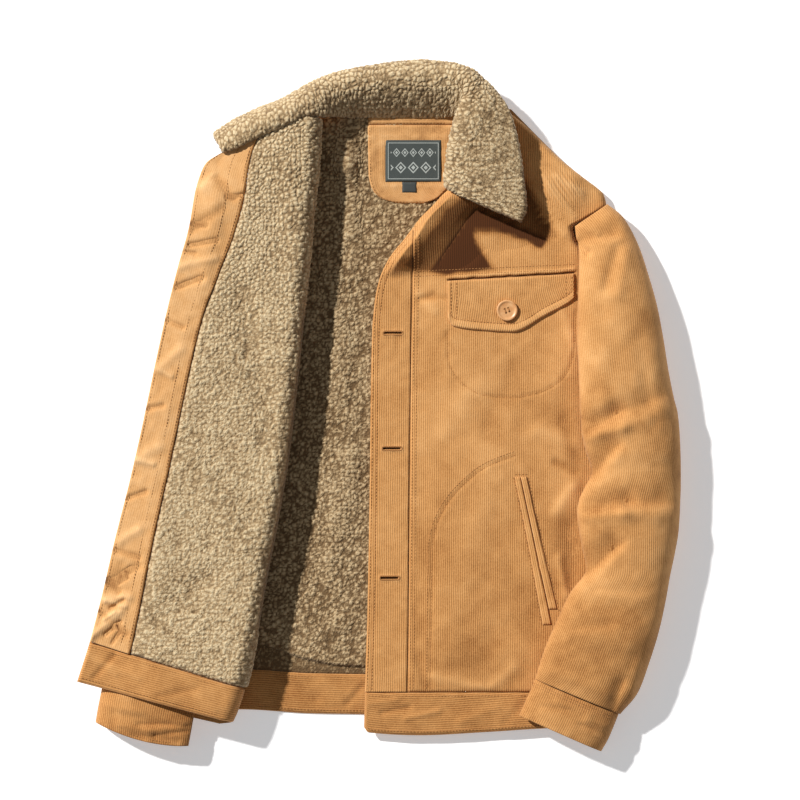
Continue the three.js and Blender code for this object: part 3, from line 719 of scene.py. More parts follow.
def sleeve_section(table, ring, angle, inset, creases=()):
    """A point of a sleeve's outer face, or of its inner one when inset is its wall."""
    c, s = np.cos(angle), np.sin(angle)
    across = np.sign(c) * np.abs(c) ** 0.85
    lx, ly, rx, ry = table.lx(ring), table.ly(ring), table.rx(ring), table.ry(ring)
    half = np.hypot(rx - lx, ry - ly) / 2
    share = 0.5 + 0.5 * across * (half - inset) / half
    x = mix(lx, rx, share)
    y = mix(ly, ry, share) - table.bow(ring) * (1 - across * across)
    base = mix(table.lz(ring), table.rz(ring), share)
    up = base + (table.crest(ring) - inset - base) * np.clip(s, 0, 1) ** 0.9
    rest = front_height(x, y) + 0.9 - 14 * ease((outside_body(x, y) - 3) / 25) + inset
    down = base + (np.minimum(rest, base - 1) - base) * np.clip(-s, 0, 1) ** 0.6
    return stack(x, y, np.where(s >= 0, up, down) + relief(creases, x, y) * np.clip(s, 0, 1) ** 0.5)


# ---- finer relief that only the scene shows ----

def gathers(x, y):
    """Close ripples where the shoulder seam is eased into the sleeve."""
    across = 0.87 * x + 0.5 * y + 1.6 * noise(x, y, 15, 26)
    place = np.exp(-(((x - 203) / 17) ** 2 + ((y - 229) / 22) ** 2))
    return 0.85 * place * np.sin(across * 2 * math.pi / 4.5)


def flap_gap(x):
    """The wavy line just above the flap's top edge."""
    return FLAP.top(x) + 0.9 + 0.55 * noise(x, 0 * x, 8, 27)


def neck_swell(x, y):
    """The neck edge stands up below the collar and falls away into a hollow."""
    away = (x - LEFT_FRONT.edge(y)) * 0.75
    fall = mix(1.0, -0.28, ease(0.5 + (away - 28) / 58))
    under_leaf = np.exp(-(((x - 140) / 46) ** 2 + ((y - 203) / 30) ** 2)) * ease((away - 20) / 30)
    swell = NECK_SWELL * plateau(y, 138, 248, 26, 26) * fall * plateau(away, 0, 78, 10, 22)
    return swell - LEAF_HOLLOW * under_leaf


# Outline of the painted shadow below the neck edge and the collar's leaf.
PAINTED_SHADOW_OUTLINE = [(84, 226), (44, 180), (20, 152), (31, 144), (75, 138), (101, 141), (131, 146), (119, 171),
          (109, 186), (125, 185), (146, 178), (181, 167), (193, 184), (186, 214), (164, 252), (110, 252),
          (84, 226)]


def neck_shadow(x, y):
    """How much painted shadow a point gets below the neck edge and the collar's leaf, from 0 to 1: full where
    the sun reaches it, less where a cast shadow already falls.
    """
    inside = np.zeros(np.shape(x), bool)
    for (x0, y0), (x1, y1) in zip(PAINTED_SHADOW_OUTLINE[:-1], PAINTED_SHADOW_OUTLINE[1:]):
        if y0 != y1:
            inside ^= ((y0 > y) != (y1 > y)) & (x < x0 + (y - y0) * (x1 - x0) / (y1 - y0))
    depth = np.where(inside, 1, -1) * distance_to(PAINTED_SHADOW_OUTLINE, x, y)
    lit = ease((x - 60 - 0.71 * (y - 156)) / 7) * ease((219 - 0.43 * (x - 108) - y) / 7)
    return ease((depth + 2 + 2 * noise(x, y, 11, 29)) / 10) * mix(0.78, 1.0, lit)


def fine_front(x, y):
    """Fine creases, puckers beside seams and stitch lines, and unevenness of the left front."""
    seam = x - LEFT_FRONT.neck(y)
    inside = ease((seam - 1) / 7) * ease((230 - x) / 8) * plateau(y, -317, 318, 7, 14)
    rise = relief(FRONT_FINE, x, y) + 0.45 * noise(x, y, 34, 3) + 0.28 * noise(x, y, 12, 4) + gathers(x, y)
    above = y - flap_gap(x)
    rise = rise + plateau(x, 74, 218, 3, 3) * (1.3 * bell(above - 3.4, 2.2) - 1.6 * bell(above, 1.0))
    rise = rise + 0.42 * np.exp(-seam / 9) * noise(x * 0.25, y, 6.5, 8)
    rise = rise + 0.5 * np.exp(-(y + 317) / 9) * noise(x, y * 0.25, 7, 9)
    for path in (CHEST_BAG, LOWER_BAG):
        away = distance_to(path, x, y)
        rise = rise - 0.75 * bell(away, 1.3) + 0.3 * bell(away, 6) * noise(x, y, 5, 21)
    return rise * inside


def front_face(x, y):
    return front_height(x, y) + fine_front(x, y) + neck_swell(x, y)


def travelled(points):
    """Distance along a line of points."""
    return np.concatenate([[0], np.cumsum(np.linalg.norm(np.diff(points, axis=0), axis=1))])


def smooth_path(*points):
    """A smooth curve through a few points."""
    t = travelled(points)
    table = Table("t x y", np.column_stack([t, points]))
    at = np.linspace(0, t[-1], int(t[-1] / 6.0))
    return np.column_stack([table.x(at), table.y(at)])


def shifted(path, away):
    """A path moved sideways by away, to its left."""
    step = unit(np.gradient(path, axis=0))
    return path + away * np.column_stack([-step[:, 1], step[:, 0]])


# Where the pockets' stitching runs.
CHEST_BAG = smooth_path((76, 80), (76.5, 50), (84, 32), (115, 10), (145, 7), (176, 12.5), (197, 23),
                        (208, 36), (215, 60), (217, 104))
LOWER_BAG = smooth_path((151, -56), (118, -69.5), (91, -91), (72, -115), (63, -136), (59, -160),
                        (57.6, -240), (57, -314))


# ---- meshes ----

def even(start, end, size):
    """Evenly spaced values whose count of spans suits the coarser underside."""
    count = max(1, int(round(abs(end - start) / (size * COARSER * UNDER)))) * UNDER
    return np.linspace(start, end, count + 1)


def joined(*parts):
    return np.concatenate([parts[0]] + [part[1:] for part in parts[1:]])


def lengths(points, axis):
    """Distance along a grid of points from its first row or column."""
    span = np.linalg.norm(np.diff(points, axis=axis), axis=-1)
    pad = [(0, 0), (0, 0)]
    pad[axis] = (1, 0)
    return np.pad(np.cumsum(span, axis=axis), pad)


def framed(surface, u, v):
    """Points and normals of a surface."""
    step = 1e-3
    along = surface(u + step, v) - surface(u - step, v)
    up = surface(u, v + step) - surface(u, v - step)
    return surface(u, v), unit(np.cross(along, up))


def placed(name, data):
    """A new object at the origin, in the scene."""
    thing = bpy.data.objects.new(name, data)
    bpy.context.scene.collection.objects.link(thing)
    return thing


def make_object(name, points, faces, cloth_uv, shade):
    """An object from points in mm and a list of arrays of faces."""
    mesh = bpy.data.meshes.new(name)
    flat = [face for part in faces for face in part.tolist()]
    mesh.from_pydata(((points - CENTRE) * MM).tolist(), [], flat)
    corners = np.zeros(len(mesh.loops), int)
    mesh.loops.foreach_get("vertex_index", corners)
    layer = mesh.uv_layers.new(name="cloth")
    layer.data.foreach_set("uv", (cloth_uv[corners] * MM).ravel())
    # The shade attribute darkens the materials' colour where it is low: mostly painted shade.
    attribute = mesh.attributes.new("shade", "FLOAT", "POINT")
    attribute.data.foreach_set("value", shade.astype(np.float32))
    mesh.validate()
    mesh.shade_smooth()
    return placed(name, mesh)


def quads(index):
    """The four corners of every square of a grid of point numbers."""
    corners = [index[..., :-1, :-1], index[..., :-1, 1:], index[..., 1:, 1:], index[..., 1:, :-1]]
    return np.stack(corners, axis=-1).reshape(-1, 4)


def border(index):
    return np.concatenate([index[0, :-1], index[:-1, -1], index[-1, :0:-1], index[:0:-1, 0]])


def to_edges(along, up):
    """Distances from the left, right, lower and upper edges."""
    return along - along[:, :1], along[:, -1:] - along, up - up[:1], up[-1:] - up


def roundness(away, radius):
    """A quarter circle's height, from 0 at an edge to 1 at radius from it."""
    t = np.clip(1 - away / radius, 0, 1)
    return np.sqrt(np.maximum(0, 1 - t * t))


def laid(surface, us, vs):
    """A surface's grid: its two coordinates, points, normals, and lengths both ways."""
    u, v = np.meshgrid(us, vs)
    base, normal = framed(surface, u, v)
    return u, v, base, normal, lengths(base, 1), lengths(base, 0)


def ply(name, surface, us, vs, low, high, detail=None, rounded=(0, 0, 0, 0), turn=False, lift=None,
        upright=False):
    """A closed sheet between two heights above a surface. Its top is fine and its underside coarser.

    detail gives extra height and a shade from the points and their distances along the sheet. rounded gives
    the radii of the left, right, lower and upper edges. turn swaps the wales' direction and upright
    keeps them along Y. lift gives extra height by x and y that the edges share.
    """
    u, v, base, normal, along, up = laid(surface, us, vs)
    low = low(u, v) if callable(low) else np.full(u.shape, float(low))
    high = high(u, v) if callable(high) else np.full(u.shape, float(high))
    rise, shade = detail(base, along, up) if detail else (0.0, 0.5)
    shade = np.broadcast_to(shade, u.shape)
    drop = np.zeros(u.shape)
    for radius, away in zip(rounded, to_edges(along, up)):
        if radius:
            drop = np.maximum(drop, 1 - roundness(away, radius))
    top = high - drop * np.minimum(high - low, 1.6 * max(rounded)) * 0.85
    raised = lift(*plan(base)) if lift else 0.0
    over = base + normal * (top + rise * (1 - drop) + raised)[..., None]
    below = (base + normal * low[..., None])[::UNDER, ::UNDER]
    if upright:
        along, up = along + base[:, :1, 0], base[..., 1]
    return close(name, over, below, along, up, shade, turn)


def close(name, over, below, along, up, shade, turn=False):
    """Joins a fine top and a coarse underside round their rim."""
    fine = np.arange(over[..., 0].size).reshape(over.shape[:2])
    coarse = fine.size + np.arange(below[..., 0].size).reshape(below.shape[:2])
    top_rim, here = border(fine), border(coarse)
    parts = [quads(fine), quads(coarse)[:, ::-1]]
    first = top_rim.reshape(-1, UNDER)
    after = np.roll(top_rim, -1).reshape(-1, UNDER)
    there = np.roll(here, -1)
    half = UNDER // 2
    for k in range(UNDER):
        parts.append(np.column_stack([here if k < half else there, after[:, k], first[:, k]]))
    parts.append(np.column_stack([here, there, first[:, half]]))
    points = np.concatenate([over.reshape(-1, 3), below.reshape(-1, 3)])
    across, length, shades = (np.concatenate([grid.ravel(), grid[::UNDER, ::UNDER].ravel()])
                              for grid in (along, up, shade))
    pair = [length, across] if turn else [across, length]
    return make_object(name, points, parts, np.column_stack(pair), shades)


def pile_ply(name, surface, us, vs, low, high, seed, sunk_and_shaded=None, tone=0.0):
    """A closed sheet of curly pile with a rounded and uneven edge.

    sunk_and_shaded gives, from the points, how far the pile lies lower and how much of its curl is left, and
    where less curl is left the shade is darkened, which is painted shade. tone is added to the shade.
    """
    _, _, base, normal, along, up = laid(surface, us, vs)
    edge = np.min(to_edges(along, up), axis=0)
    rise, shade = pile_height(base, seed)
    round_off = roundness(edge, PILE_EDGE)
    top = low + (high - low) * np.maximum(round_off, 0.02)
    if sunk_and_shaded:
        sunk, left = sunk_and_shaded(base)
        top = np.maximum(top - sunk, low + 0.4)
        rise = rise * left
        # Painted shade where the pile lies lower.
        shade = mix(0.2, shade, left)
    over = base + normal * (top + rise * round_off)[..., None]
    out = np.zeros(base.shape)
    out[:, 0] += base[:, 0] - base[:, 1]
    out[:, -1] += base[:, -1] - base[:, -2]
    out[0] += base[0] - base[1]
    out[-1] += base[-1] - base[-2]
    size = np.maximum(np.linalg.norm(out, axis=-1, keepdims=True), 1e-6)
    over = over + out / size * (RAGGED * (shade - 0.35) * (edge < 0.05))[..., None]
    below = (base + normal * low)[::UNDER, ::UNDER]
    # Painted shade: darker towards the rounded edge, shifted by tone.
    return close(name, over, below, along, up, shade * (0.55 + 0.45 * round_off) + tone)


def tube(name, table, wall, around, size, creases, closed_top, inner_rings, fine, sharp=(), reach=0.0):
    """A hollow sleeve or cuff with its wales along it.

    wall is its thickness, around and size its points round and their pitch along. fine gives extra height and
    a painted shade. sharp lists its folds, whose troughs also get painted shade. reach is how far the sides
    of its top end go into the piece above.
    """
    last = table.key[-1]
    count = int(around / COARSER) // 4 * 4
    angles = np.linspace(0, 2 * math.pi, count + 1)[:-1]
    probe_at = np.linspace(0, last, 400)
    run = travelled(sleeve_section(table, probe_at, math.pi / 2, 0.0))
    length = np.linspace(0, run[-1], max(4, int(run[-1] / (size * COARSER))) + 1)
    angle, ring = np.meshgrid(angles, np.interp(length, run, probe_at))
    outer = sleeve_section(table, ring, angle, 0.0, creases)
    arc = np.cumsum(np.linalg.norm(outer - np.roll(outer, 1, axis=1), axis=-1), axis=1)
    arc = arc - arc[:, count // 4][:, None]
    far = np.broadcast_to(length[:, None], arc.shape)
    rise, shade = fine(outer, arc, far)
    fold = folds(sharp, *plan(outer))
    # Painted shade: the folds' troughs darken the colour.
    shade = np.clip(shade + FOLD_SHADE * fold, 0.25, 1)
    outer[..., 2] += (rise + fold) * np.clip(np.sin(angle), 0, 1) ** 0.5
    inner_angle, inner_ring = np.meshgrid(angles, np.linspace(2 if closed_top else 0, last, inner_rings))
    inner = sleeve_section(table, inner_ring, inner_angle, wall)
    way = unit(outer[0] - outer[1]) * (reach * np.cos(angles) ** 4)[:, None]
    outer[0] += way
    inner[0] += way
    a = np.arange(arc.size).reshape(arc.shape)
    b = arc.size + np.arange(inner_ring.size).reshape(inner_ring.shape)
    a, b = np.column_stack([a, a[:, :1]]), np.column_stack([b, b[:, :1]])
    parts = [quads(a), quads(b)[:, ::-1], quads(np.stack([a[-1], b[-1]]))]
    points = [outer.reshape(-1, 3), inner.reshape(-1, 3)]
    inner_arc = np.broadcast_to(arc[0], inner_ring.shape)
    inner_far = np.broadcast_to(np.linspace(0, run[-1], inner_rings)[:, None], inner_ring.shape)
    uv = [np.stack(pair, axis=-1).reshape(-1, 2) for pair in ((arc, far), (inner_arc, inner_far))]
    # The inner faces get a low shade: painted shade inside the tube.
    shades = [shade.ravel(), np.full(inner_ring.size, 0.2)]
    if closed_top:
        total = np.full(count, arc.size + inner_ring.size)
        points += [outer[0].mean(axis=0)[None], inner[0].mean(axis=0)[None]]
        parts.append(np.column_stack([total, a[0][1:], a[0][:-1]]))
        parts.append(np.column_stack([total + 1, b[0][:-1], b[0][1:]]))
        uv.append(np.zeros((2, 2)))
        # The inner cap's low shade is painted shade as well.
        shades.append(np.array([0.5, 0.2]))
    else:
        parts.append(quads(np.stack([b[0], a[0]])))
    return make_object(name, np.concatenate(points), parts, np.concatenate(uv), np.concatenate(shades))


# ---- stitches ----

def resample(points, pitch):
    """Evenly spaced places along a line, and its direction at each."""
    span = travelled(points)
    count = max(1, int(span[-1] / pitch))
    at = (np.arange(count) + 0.5) * span[-1] / count

    def place(where):
        return np.column_stack([np.interp(where, span, points[:, k]) for k in range(3)])

    return place(at), unit(place(at + 0.8) - place(at - 0.8))


def stitches(name, lines, length=STITCH, pitch=STITCH_PITCH, thick=0.62, sink=0.12):
    """Short rounded threads along lines of points with normals."""
    sides = 6
    turn = np.linspace(0, 2 * math.pi, sides + 1)[:-1, None]
    profile = [(-0.5, 0.25), (-0.36, 0.85), (0.0, 1.0), (0.36, 0.85), (0.5, 0.25)]
    points, faces, total = [], [], 0
    for line, normal in lines:
        place, way = resample(np.asarray(line, float), pitch)
        side = unit(np.cross(np.broadcast_to(normal, place.shape), way))
        up = np.cross(way, side)
        round_way = side[:, None] * np.cos(turn) + up[:, None] * np.sin(turn)
        for at, size in profile:
            centre = place + way * (at * length) + up * (0.5 * thick * size - sink)
            points.append((centre[:, None] + round_way * (size * thick / 2)).reshape(-1, 3))
        index = total + np.arange(len(profile) * len(place) * sides).reshape(len(profile), -1, sides)
        loop = np.concatenate([index, index[:, :, :1]], axis=2)
        corners = [loop[:-1, :, :-1], loop[:-1, :, 1:], loop[1:, :, 1:], loop[1:, :, :-1]]
        faces += [np.stack(corners, axis=-1).reshape(-1, 4), index[0][:, ::-1], index[-1]]
        total += index.size
    points = np.concatenate(points)
    return make_object(name, points, faces, np.zeros((len(points), 2)), np.full(len(points), 0.5))


def lifted(height, paths, lift=0.0):
    """Paths laid on a height function, each with its normal."""
    lines = []
    for path in paths:
        x, y = path.T
        lines.append((np.column_stack([x, y, height(x, y) + lift]), UP))
    return lines


def on_sheet(surface, us, vs, level):
    """A line at a level above a surface, with its mean normal on that side."""
    us, vs = np.broadcast_arrays(np.asarray(us, float), np.asarray(vs, float))
    base, normal = framed(surface, us, vs)
    return base + normal * level, (normal if level >= 0 else -normal).mean(axis=0)


# ---- materials ----

class Shader:
    """A small wrapper that makes shader nodes and their links."""

    def __init__(self, name):
        self.material = bpy.data.materials.new(name)
        self.material.use_nodes = True
        self.tree = self.material.node_tree
        self.bsdf = self.tree.nodes["Principled BSDF"]

    def put(self, socket, value):
        if isinstance(value, bpy.types.NodeSocket):
            self.tree.links.new(value, socket)
        elif isinstance(value, tuple) and socket.type == "RGBA":
            socket.default_value = (*value, 1.0)
        else:
            socket.default_value = value

    def node(self, kind, *values, **named):
        """A new node with its inputs set in order or by name."""
        node = self.tree.nodes.new("ShaderNode" + kind)
        for socket, value in zip(node.inputs, values):
            self.put(socket, value)
        for name, value in named.items():
            self.put(node.inputs[name], value)
        return node

    def math(self, operation, *values):
        node = self.node("Math", *values)
        node.operation = operation
        return node.outputs[0]

    def add(self, a, b):
        return self.math("ADD", a, b)

    def times(self, a, b):
        return self.math("MULTIPLY", a, b)

    def scaled(self, value, gain, shift):
        return self.math("MULTIPLY_ADD", value, gain, shift)

    def less(self, a, b):
        return self.math("SUBTRACT", a, b)

    def gap(self, a, b):
        return self.math("ABSOLUTE", self.less(a, b))

    def mix(self, factor, a, b):
        node = self.node("Mix")
        node.data_type = "RGBA"
        for index, value in ((0, factor), (6, a), (7, b)):
            self.put(node.inputs[index], value)
        return node.outputs[2]

    def spread(self, value, low, high):
        return self.node("MapRange", value, low, high).outputs[0]

    def noise(self, place, scale, detail=2.0, rough=0.5):
        return self.node("TexNoise", Vector=place, Scale=scale, Detail=detail, Roughness=rough).outputs["Fac"]

    def cloth_place(self):
        node = self.node("UVMap")
        node.uv_map = "cloth"
        return node.outputs[0]

    def object_place(self):
        return self.node("TexCoord").outputs["Object"]

    def shade(self):
        node = self.node("Attribute")
        node.attribute_name = "shade"
        return node.outputs["Fac"]

    def bump(self, height, strength, distance):
        return self.node("Bump", Strength=strength, Distance=distance, Height=height).outputs[0]

    def finish(self, color, normal, rough, sheen, tint, specular):
        looks = {"Base Color": color, "Normal": normal, "Roughness": rough, "Sheen Weight": sheen,
                 "Sheen Roughness": 0.5, "Sheen Tint": tint, "Specular IOR Level": specular}
        for name, value in looks.items():
            if value is not None:
                self.put(self.bsdf.inputs[name], value)
        return self.material


def linear(code):
    """A colour from its six hexadecimal digits, made linear."""
    parts = [int(code[k:k + 2], 16) / 255 for k in (0, 2, 4)]
    return tuple(c / 12.92 if c <= 0.04045 else ((c + 0.055) / 1.055) ** 2.4 for c in parts)


def dimmed(color, gain):
    return tuple(gain * c for c in color)


def corduroy(name, codes, wales=1.0):
    """Fine-waled cotton corduroy: ribs with painted light on their tops and painted shade in their grooves,
    fuzz, blotches of wear, and painted shade from the shade attribute.
    """
    s = Shader(name)
    dark, middle, light = (linear(code) for code in codes.split())
    place = s.cloth_place()
    wobble = s.times(s.less(s.noise(place, 42, 1.0), 0.5), 0.0016)
    turn = s.times(s.add(s.node("SeparateXYZ", place).outputs[0], wobble), 2 * math.pi / (WALE * MM))
    rib = s.scaled(s.math("SINE", turn), 0.5, 0.5)
    fuzz = s.noise(place, 1500, 2.0, 0.7)
    tuft = s.noise(place, 520, 2.0, 0.6)
    blotch = s.noise(s.object_place(), 26, 3.0, 0.55)
    patch = s.noise(s.object_place(), 95, 3.0, 0.6)
    # The ribs' tone is painted light on their tops and painted shade in the grooves; the shade attribute
    # below adds the pieces' painted shade.
    tone = s.scaled(rib, 0.34 * wales, 0.33 - 0.17 * wales)
    for layer, gain in ((blotch, 0.36), (patch, 0.28), (tuft, 0.5), (s.shade(), 0.9)):
        tone = s.add(tone, s.scaled(layer, gain, -gain / 2))
    tone = s.add(tone, 0.17)
    color = s.mix(s.spread(tone, 0.0, 0.5), dark, middle)
    color = s.mix(s.spread(tone, 0.5, 1.05), color, light)
    # Where the shade attribute is lowest the colour turns deep brown: painted shadow.
    color = s.mix(s.spread(s.shade(), 0.02, 0.22), linear("4C280E"), color)
    height = s.add(s.add(s.times(rib, 0.55 * wales), s.times(fuzz, 0.32)), s.times(tuft, 0.5))
    return s.finish(color, s.bump(height, 0.75, 0.0006), 0.92, 0.25, (1.0, 0.86, 0.66), 0.15)


def sherpa(name, codes):
    """Curly pile: curls lighter on top and crevices darker, which is painted shade, and fine fibres."""
    s = Shader(name)
    dark, middle, light = (linear(code) for code in codes.split())
    place = s.object_place()
    fibre = s.noise(place, 1300, 3.0, 0.7)
    curl = s.node("TexVoronoi", Vector=place, Scale=430).outputs["Distance"]
    # The shade attribute sets most of the tone, and the cell pattern darkens the crevices: painted shade.
    tone = s.add(s.times(s.shade(), 0.95), s.scaled(fibre, 0.34, -0.17))
    tone = s.add(tone, s.scaled(s.noise(place, 34), 0.16, -0.08))
    tone = s.add(tone, s.scaled(curl, -0.25, 0.08))
    color = s.mix(s.spread(tone, 0.12, 0.5), dark, middle)
    color = s.mix(s.spread(tone, 0.5, 0.9), color, light)
    height = s.add(s.times(fibre, 0.6), s.times(curl, -0.8))
    return s.finish(color, s.bump(height, 0.8, 0.0012), 1.0, 0.35, (1.0, 0.93, 0.8), 0.1)


def thread(name, code):
    """Twisted sewing thread."""
    s = Shader(name)
    fine = s.noise(s.object_place(), 900)
    color = s.mix(s.spread(fine, 0.3, 0.7), dimmed(linear(code), 0.62), linear(code))
    return s.finish(color, s.bump(fine, 0.5, 0.0002), 0.65, 0.1, (1, 0.9, 0.7), 0.3)


def horn(name):
    """Pale peach plastic with faint clouds."""
    s = Shader(name)
    place = s.object_place()
    cloud = s.noise(place, 160, 3.0, 0.6)
    color = s.mix(s.spread(cloud, 0.3, 0.7), linear("C88B54"), linear("E2B07C"))
    return s.finish(color, s.bump(s.noise(place, 1100), 0.12, 0.0002), 0.38, 0.0, (1, 1, 1), 0.5)


def lozenges(s, x, y):
    """A mask of a plain border and two rows of lozenges, from places on the label in mm."""
    width, tall = LABEL[2] - LABEL[0], LABEL[3] - LABEL[1]
    dx, dy = s.gap(x, width / 2), s.gap(y, tall / 2)
    rim = s.math("MAXIMUM", s.less(dx, width / 2 - 3.2), s.less(dy, tall / 2 - 3.2))
    mask = s.math("COMPARE", rim, 0.0, 0.35)
    for middle, half, pitch in ((tall * 0.70, 5.2, 9.2), (tall * 0.34, 6.8, 13.8)):
        cell = s.math("ABSOLUTE", s.math("WRAP", s.less(x, width / 2), pitch / 2, -pitch / 2))
        kite = s.add(s.math("DIVIDE", cell, pitch * 0.46), s.math("DIVIDE", s.gap(y, middle), half))
        figure = s.math("MAXIMUM", s.math("COMPARE", kite, 0.82, 0.13), s.math("LESS_THAN", kite, 0.36))
        mask = s.math("MAXIMUM", mask, s.times(figure, s.math("LESS_THAN", dx, width / 2 - 6)))
    return mask


def woven_label(name, ground, figure=None):
    """A satin label, with a figure or bare."""
    s = Shader(name)
    place = s.cloth_place()
    x, y = (s.times(axis, 1 / MM) for axis in list(s.node("SeparateXYZ", place).outputs)[:2])
    weave = s.times(s.math("SINE", s.times(y, 9.0)), s.math("SINE", s.times(x, 9.0)))
    ground = linear(ground)
    color = s.mix(s.spread(s.noise(place, 1600), 0.25, 0.75), dimmed(ground, 0.75), dimmed(ground, 1.25))
    if figure:
        color = s.mix(s.times(lozenges(s, x, y), 0.8), color, linear(figure))
    return s.finish(color, s.bump(weave, 0.3, 0.0002), 0.6, 0.15, (1, 1, 1), 0.35)


def backdrop(name):
    """White paper, bright enough to stay pale in the garment's shadow."""
    s = Shader(name)
    s.put(s.bsdf.inputs["Emission Color"], (0.99, 0.985, 1.0))
    s.put(s.bsdf.inputs["Emission Strength"], 0.34)
    return s.finish((0.88, 0.88, 0.885), None, 0.95, 0.0, (1, 1, 1), 0.1)


# Each cloth is a material and the frame's slot for it.
CORDUROY = corduroy("corduroy", "8A5526 CB9358 E9B67C"), "corduroy"
SLEEVE_CORD = corduroy("corduroy_sleeve", "8A5526 CB9358 E9B67C", 0.9), "corduroy"
INNER_CORD = corduroy("corduroy_inner", "86542A CE9A62 ECC08C", 0.4), "corduroy_inner"
SHERPA = sherpa("sherpa", "6E5538 B59A74 DCC7A1"), "sherpa"
THREAD = thread("thread", "C48A50"), "corduroy"
DARK_THREAD = thread("thread_dark", "9A6632"), "corduroy_inner"
BUTTON = horn("button"), "button"
LABEL_CLOTH = woven_label("label", "3F4644", "B9BFBA"), "label"
TAG_CLOTH = woven_label("tag", "3A3F3E"), "label"


# ---- camera, lights and floor ----

def add_camera():
    data = bpy.data.cameras.new("camera")
    data.sensor_width = 36
    data.lens = 36 * (CAMERA[2] - VIEW_LEVEL) / VIEW_WIDTH
    data.clip_end = 60
    camera = placed("camera", data)
    camera.location = CAMERA
    bpy.context.scene.camera = camera


def add_light():
    data = bpy.data.lights.new("sun", "SUN")
    data.energy = 4.85
    data.angle = math.radians(2.6)
    data.color = (1.0, 0.985, 0.96)
    placed("sun", data).rotation_euler = Vector((1.1, -0.85, -1.0)).to_track_quat("-Z", "Y").to_euler()
    world = bpy.data.worlds.new("studio")
    world.use_nodes = True
    color, strength = list(world.node_tree.nodes["Background"].inputs)[:2]
    color.default_value = (0.97, 0.985, 1.0, 1.0)
    strength.default_value = 0.22
    bpy.context.scene.world = world
    view = bpy.context.scene.view_settings
    view.view_transform = "Standard"
    view.look = "None"


def add_floor():
    mesh = bpy.data.meshes.new("floor")
    reach = 20.0
    corners = [(-reach, -reach, 0), (reach, -reach, 0), (reach, reach, 0), (-reach, reach, 0)]
    mesh.from_pydata(corners, [], [(0, 1, 2, 3)])
    mesh.materials.append(backdrop("backdrop"))
    placed("floor", mesh)


add_camera()
add_light()
add_floor()


def fit(piece, cloth, node=None):
    """Gives a piece its material and its body, and hides the part that it stands for."""
    material, slot = cloth
    piece.data.materials.append(material)
    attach(piece, "root")
    if node:
        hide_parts(node)


# ---- back, its lining and its band ----

ROLL_IN = even(-1, 0, 0.25 * COARSER)
ROLL_OUT = even(1, 2, 0.25 * COARSER)


def creases_and_painted_shade(creases, tone, gain, fade=1.0):
    """Detail for corduroy: creases and soft bumps, with painted shade that follows both, darker in the
    troughs.
    """

    def detail(points, along, up):
        x, y = plan(points)
        rise = relief(creases, x, y) + 0.35 * noise(x, y, 24, 31) + 0.175 * noise(x, y, 9, 32)
        return rise * fade, np.clip(tone + gain * rise, 0, 1)

    return detail


def closing(level, change, start=-346, reach=14):
    """A face of the hem band, which closes up towards the hem."""
    return lambda u, v: level + change * ease((start - v) / reach)


fit(ply("back_shell", back_sheet, joined(ROLL_IN, even(0, 1, 0.014), ROLL_OUT), even(-319, COLLAR_SEAM, 7),
        0, SHELL),
    CORDUROY, "back")
fit(ply("band_back", back_sheet, joined(ROLL_IN, even(0, 1, 0.005), ROLL_OUT), even(HEM, BAND_TOP, 1.7),
        closing(0, 1.0), closing(BAND, -1.0), creases_and_painted_shade(BACK_BAND_CREASES, 0.29, 0.05), (0, 0, 2.2, 1.2),
        turn=True),
    CORDUROY, "hem_band_back")

PILE_HEM = Table("x y", [
    [-150, -254],
    [-128.7, -262],
    [-103, -272],
    [-70, -282],
    [-42, -286],
    [-14, -287.5],
    [100, -288],
])


def back_pile_hem_sunk_and_shaded(points):
    """Beyond the curled edge at the hem the pile lies deep and flat, and its shade is darkened there: painted
    shade in the recess.
    """
    x, y = plan(points)
    beyond = ease((PILE_HEM.y(x) - y) / 3.0)
    return 4.2 * beyond, 1 - 0.4 * beyond


# The back's pile gets a tone of -0.2: painted shade, as it lies lower than the folded front.
fit(pile_ply("back_pile", back_lining_sheet,
             joined(even(-224, -150, 9), even(-150, 96, 1.5), even(96, 240, 12)),
             even(-317.1, COLLAR_SEAM, 1.5), SHELL + SEAM, MEET, 101, back_pile_hem_sunk_and_shaded, -0.2),
    SHERPA, "back_lining")


# ---- neck patch, tape, label and size tag ----

def on_lining(u, y):
    return stack(u, y, MEET)


def patch_sheet(u, y):
    return stack(mix(NECK_PATCH.left(y), NECK_PATCH.right(y), u), y, MEET)


def patch_detail(points, along, up):
    """Soft unevenness, and a ridge round the label, with painted shade that follows them."""
    x, y = plan(points)
    rise = 0.6 * noise(x, y, 16, 41) + 0.35 * noise(x, y, 6, 42)
    off_x = np.abs(x - (LABEL[0] + LABEL[2]) / 2) - 32
    off_y = np.abs(y - (LABEL[1] + LABEL[3]) / 2) - 24
    rise = rise + 0.45 * bell(np.maximum(off_x, off_y) - 3, 3.0)
    return rise, np.clip(0.45 + 0.3 * rise, 0, 1)


def label_detail(points, along, up):
    return 0.18 * noise(*plan(points), 12, 51), 0.5


def across_and_up(box, size_x, size_y):
    """The two spacings of a rectangle given by its low and high corners."""
    return even(box[0], box[2], size_x), even(box[1], box[3], size_y)


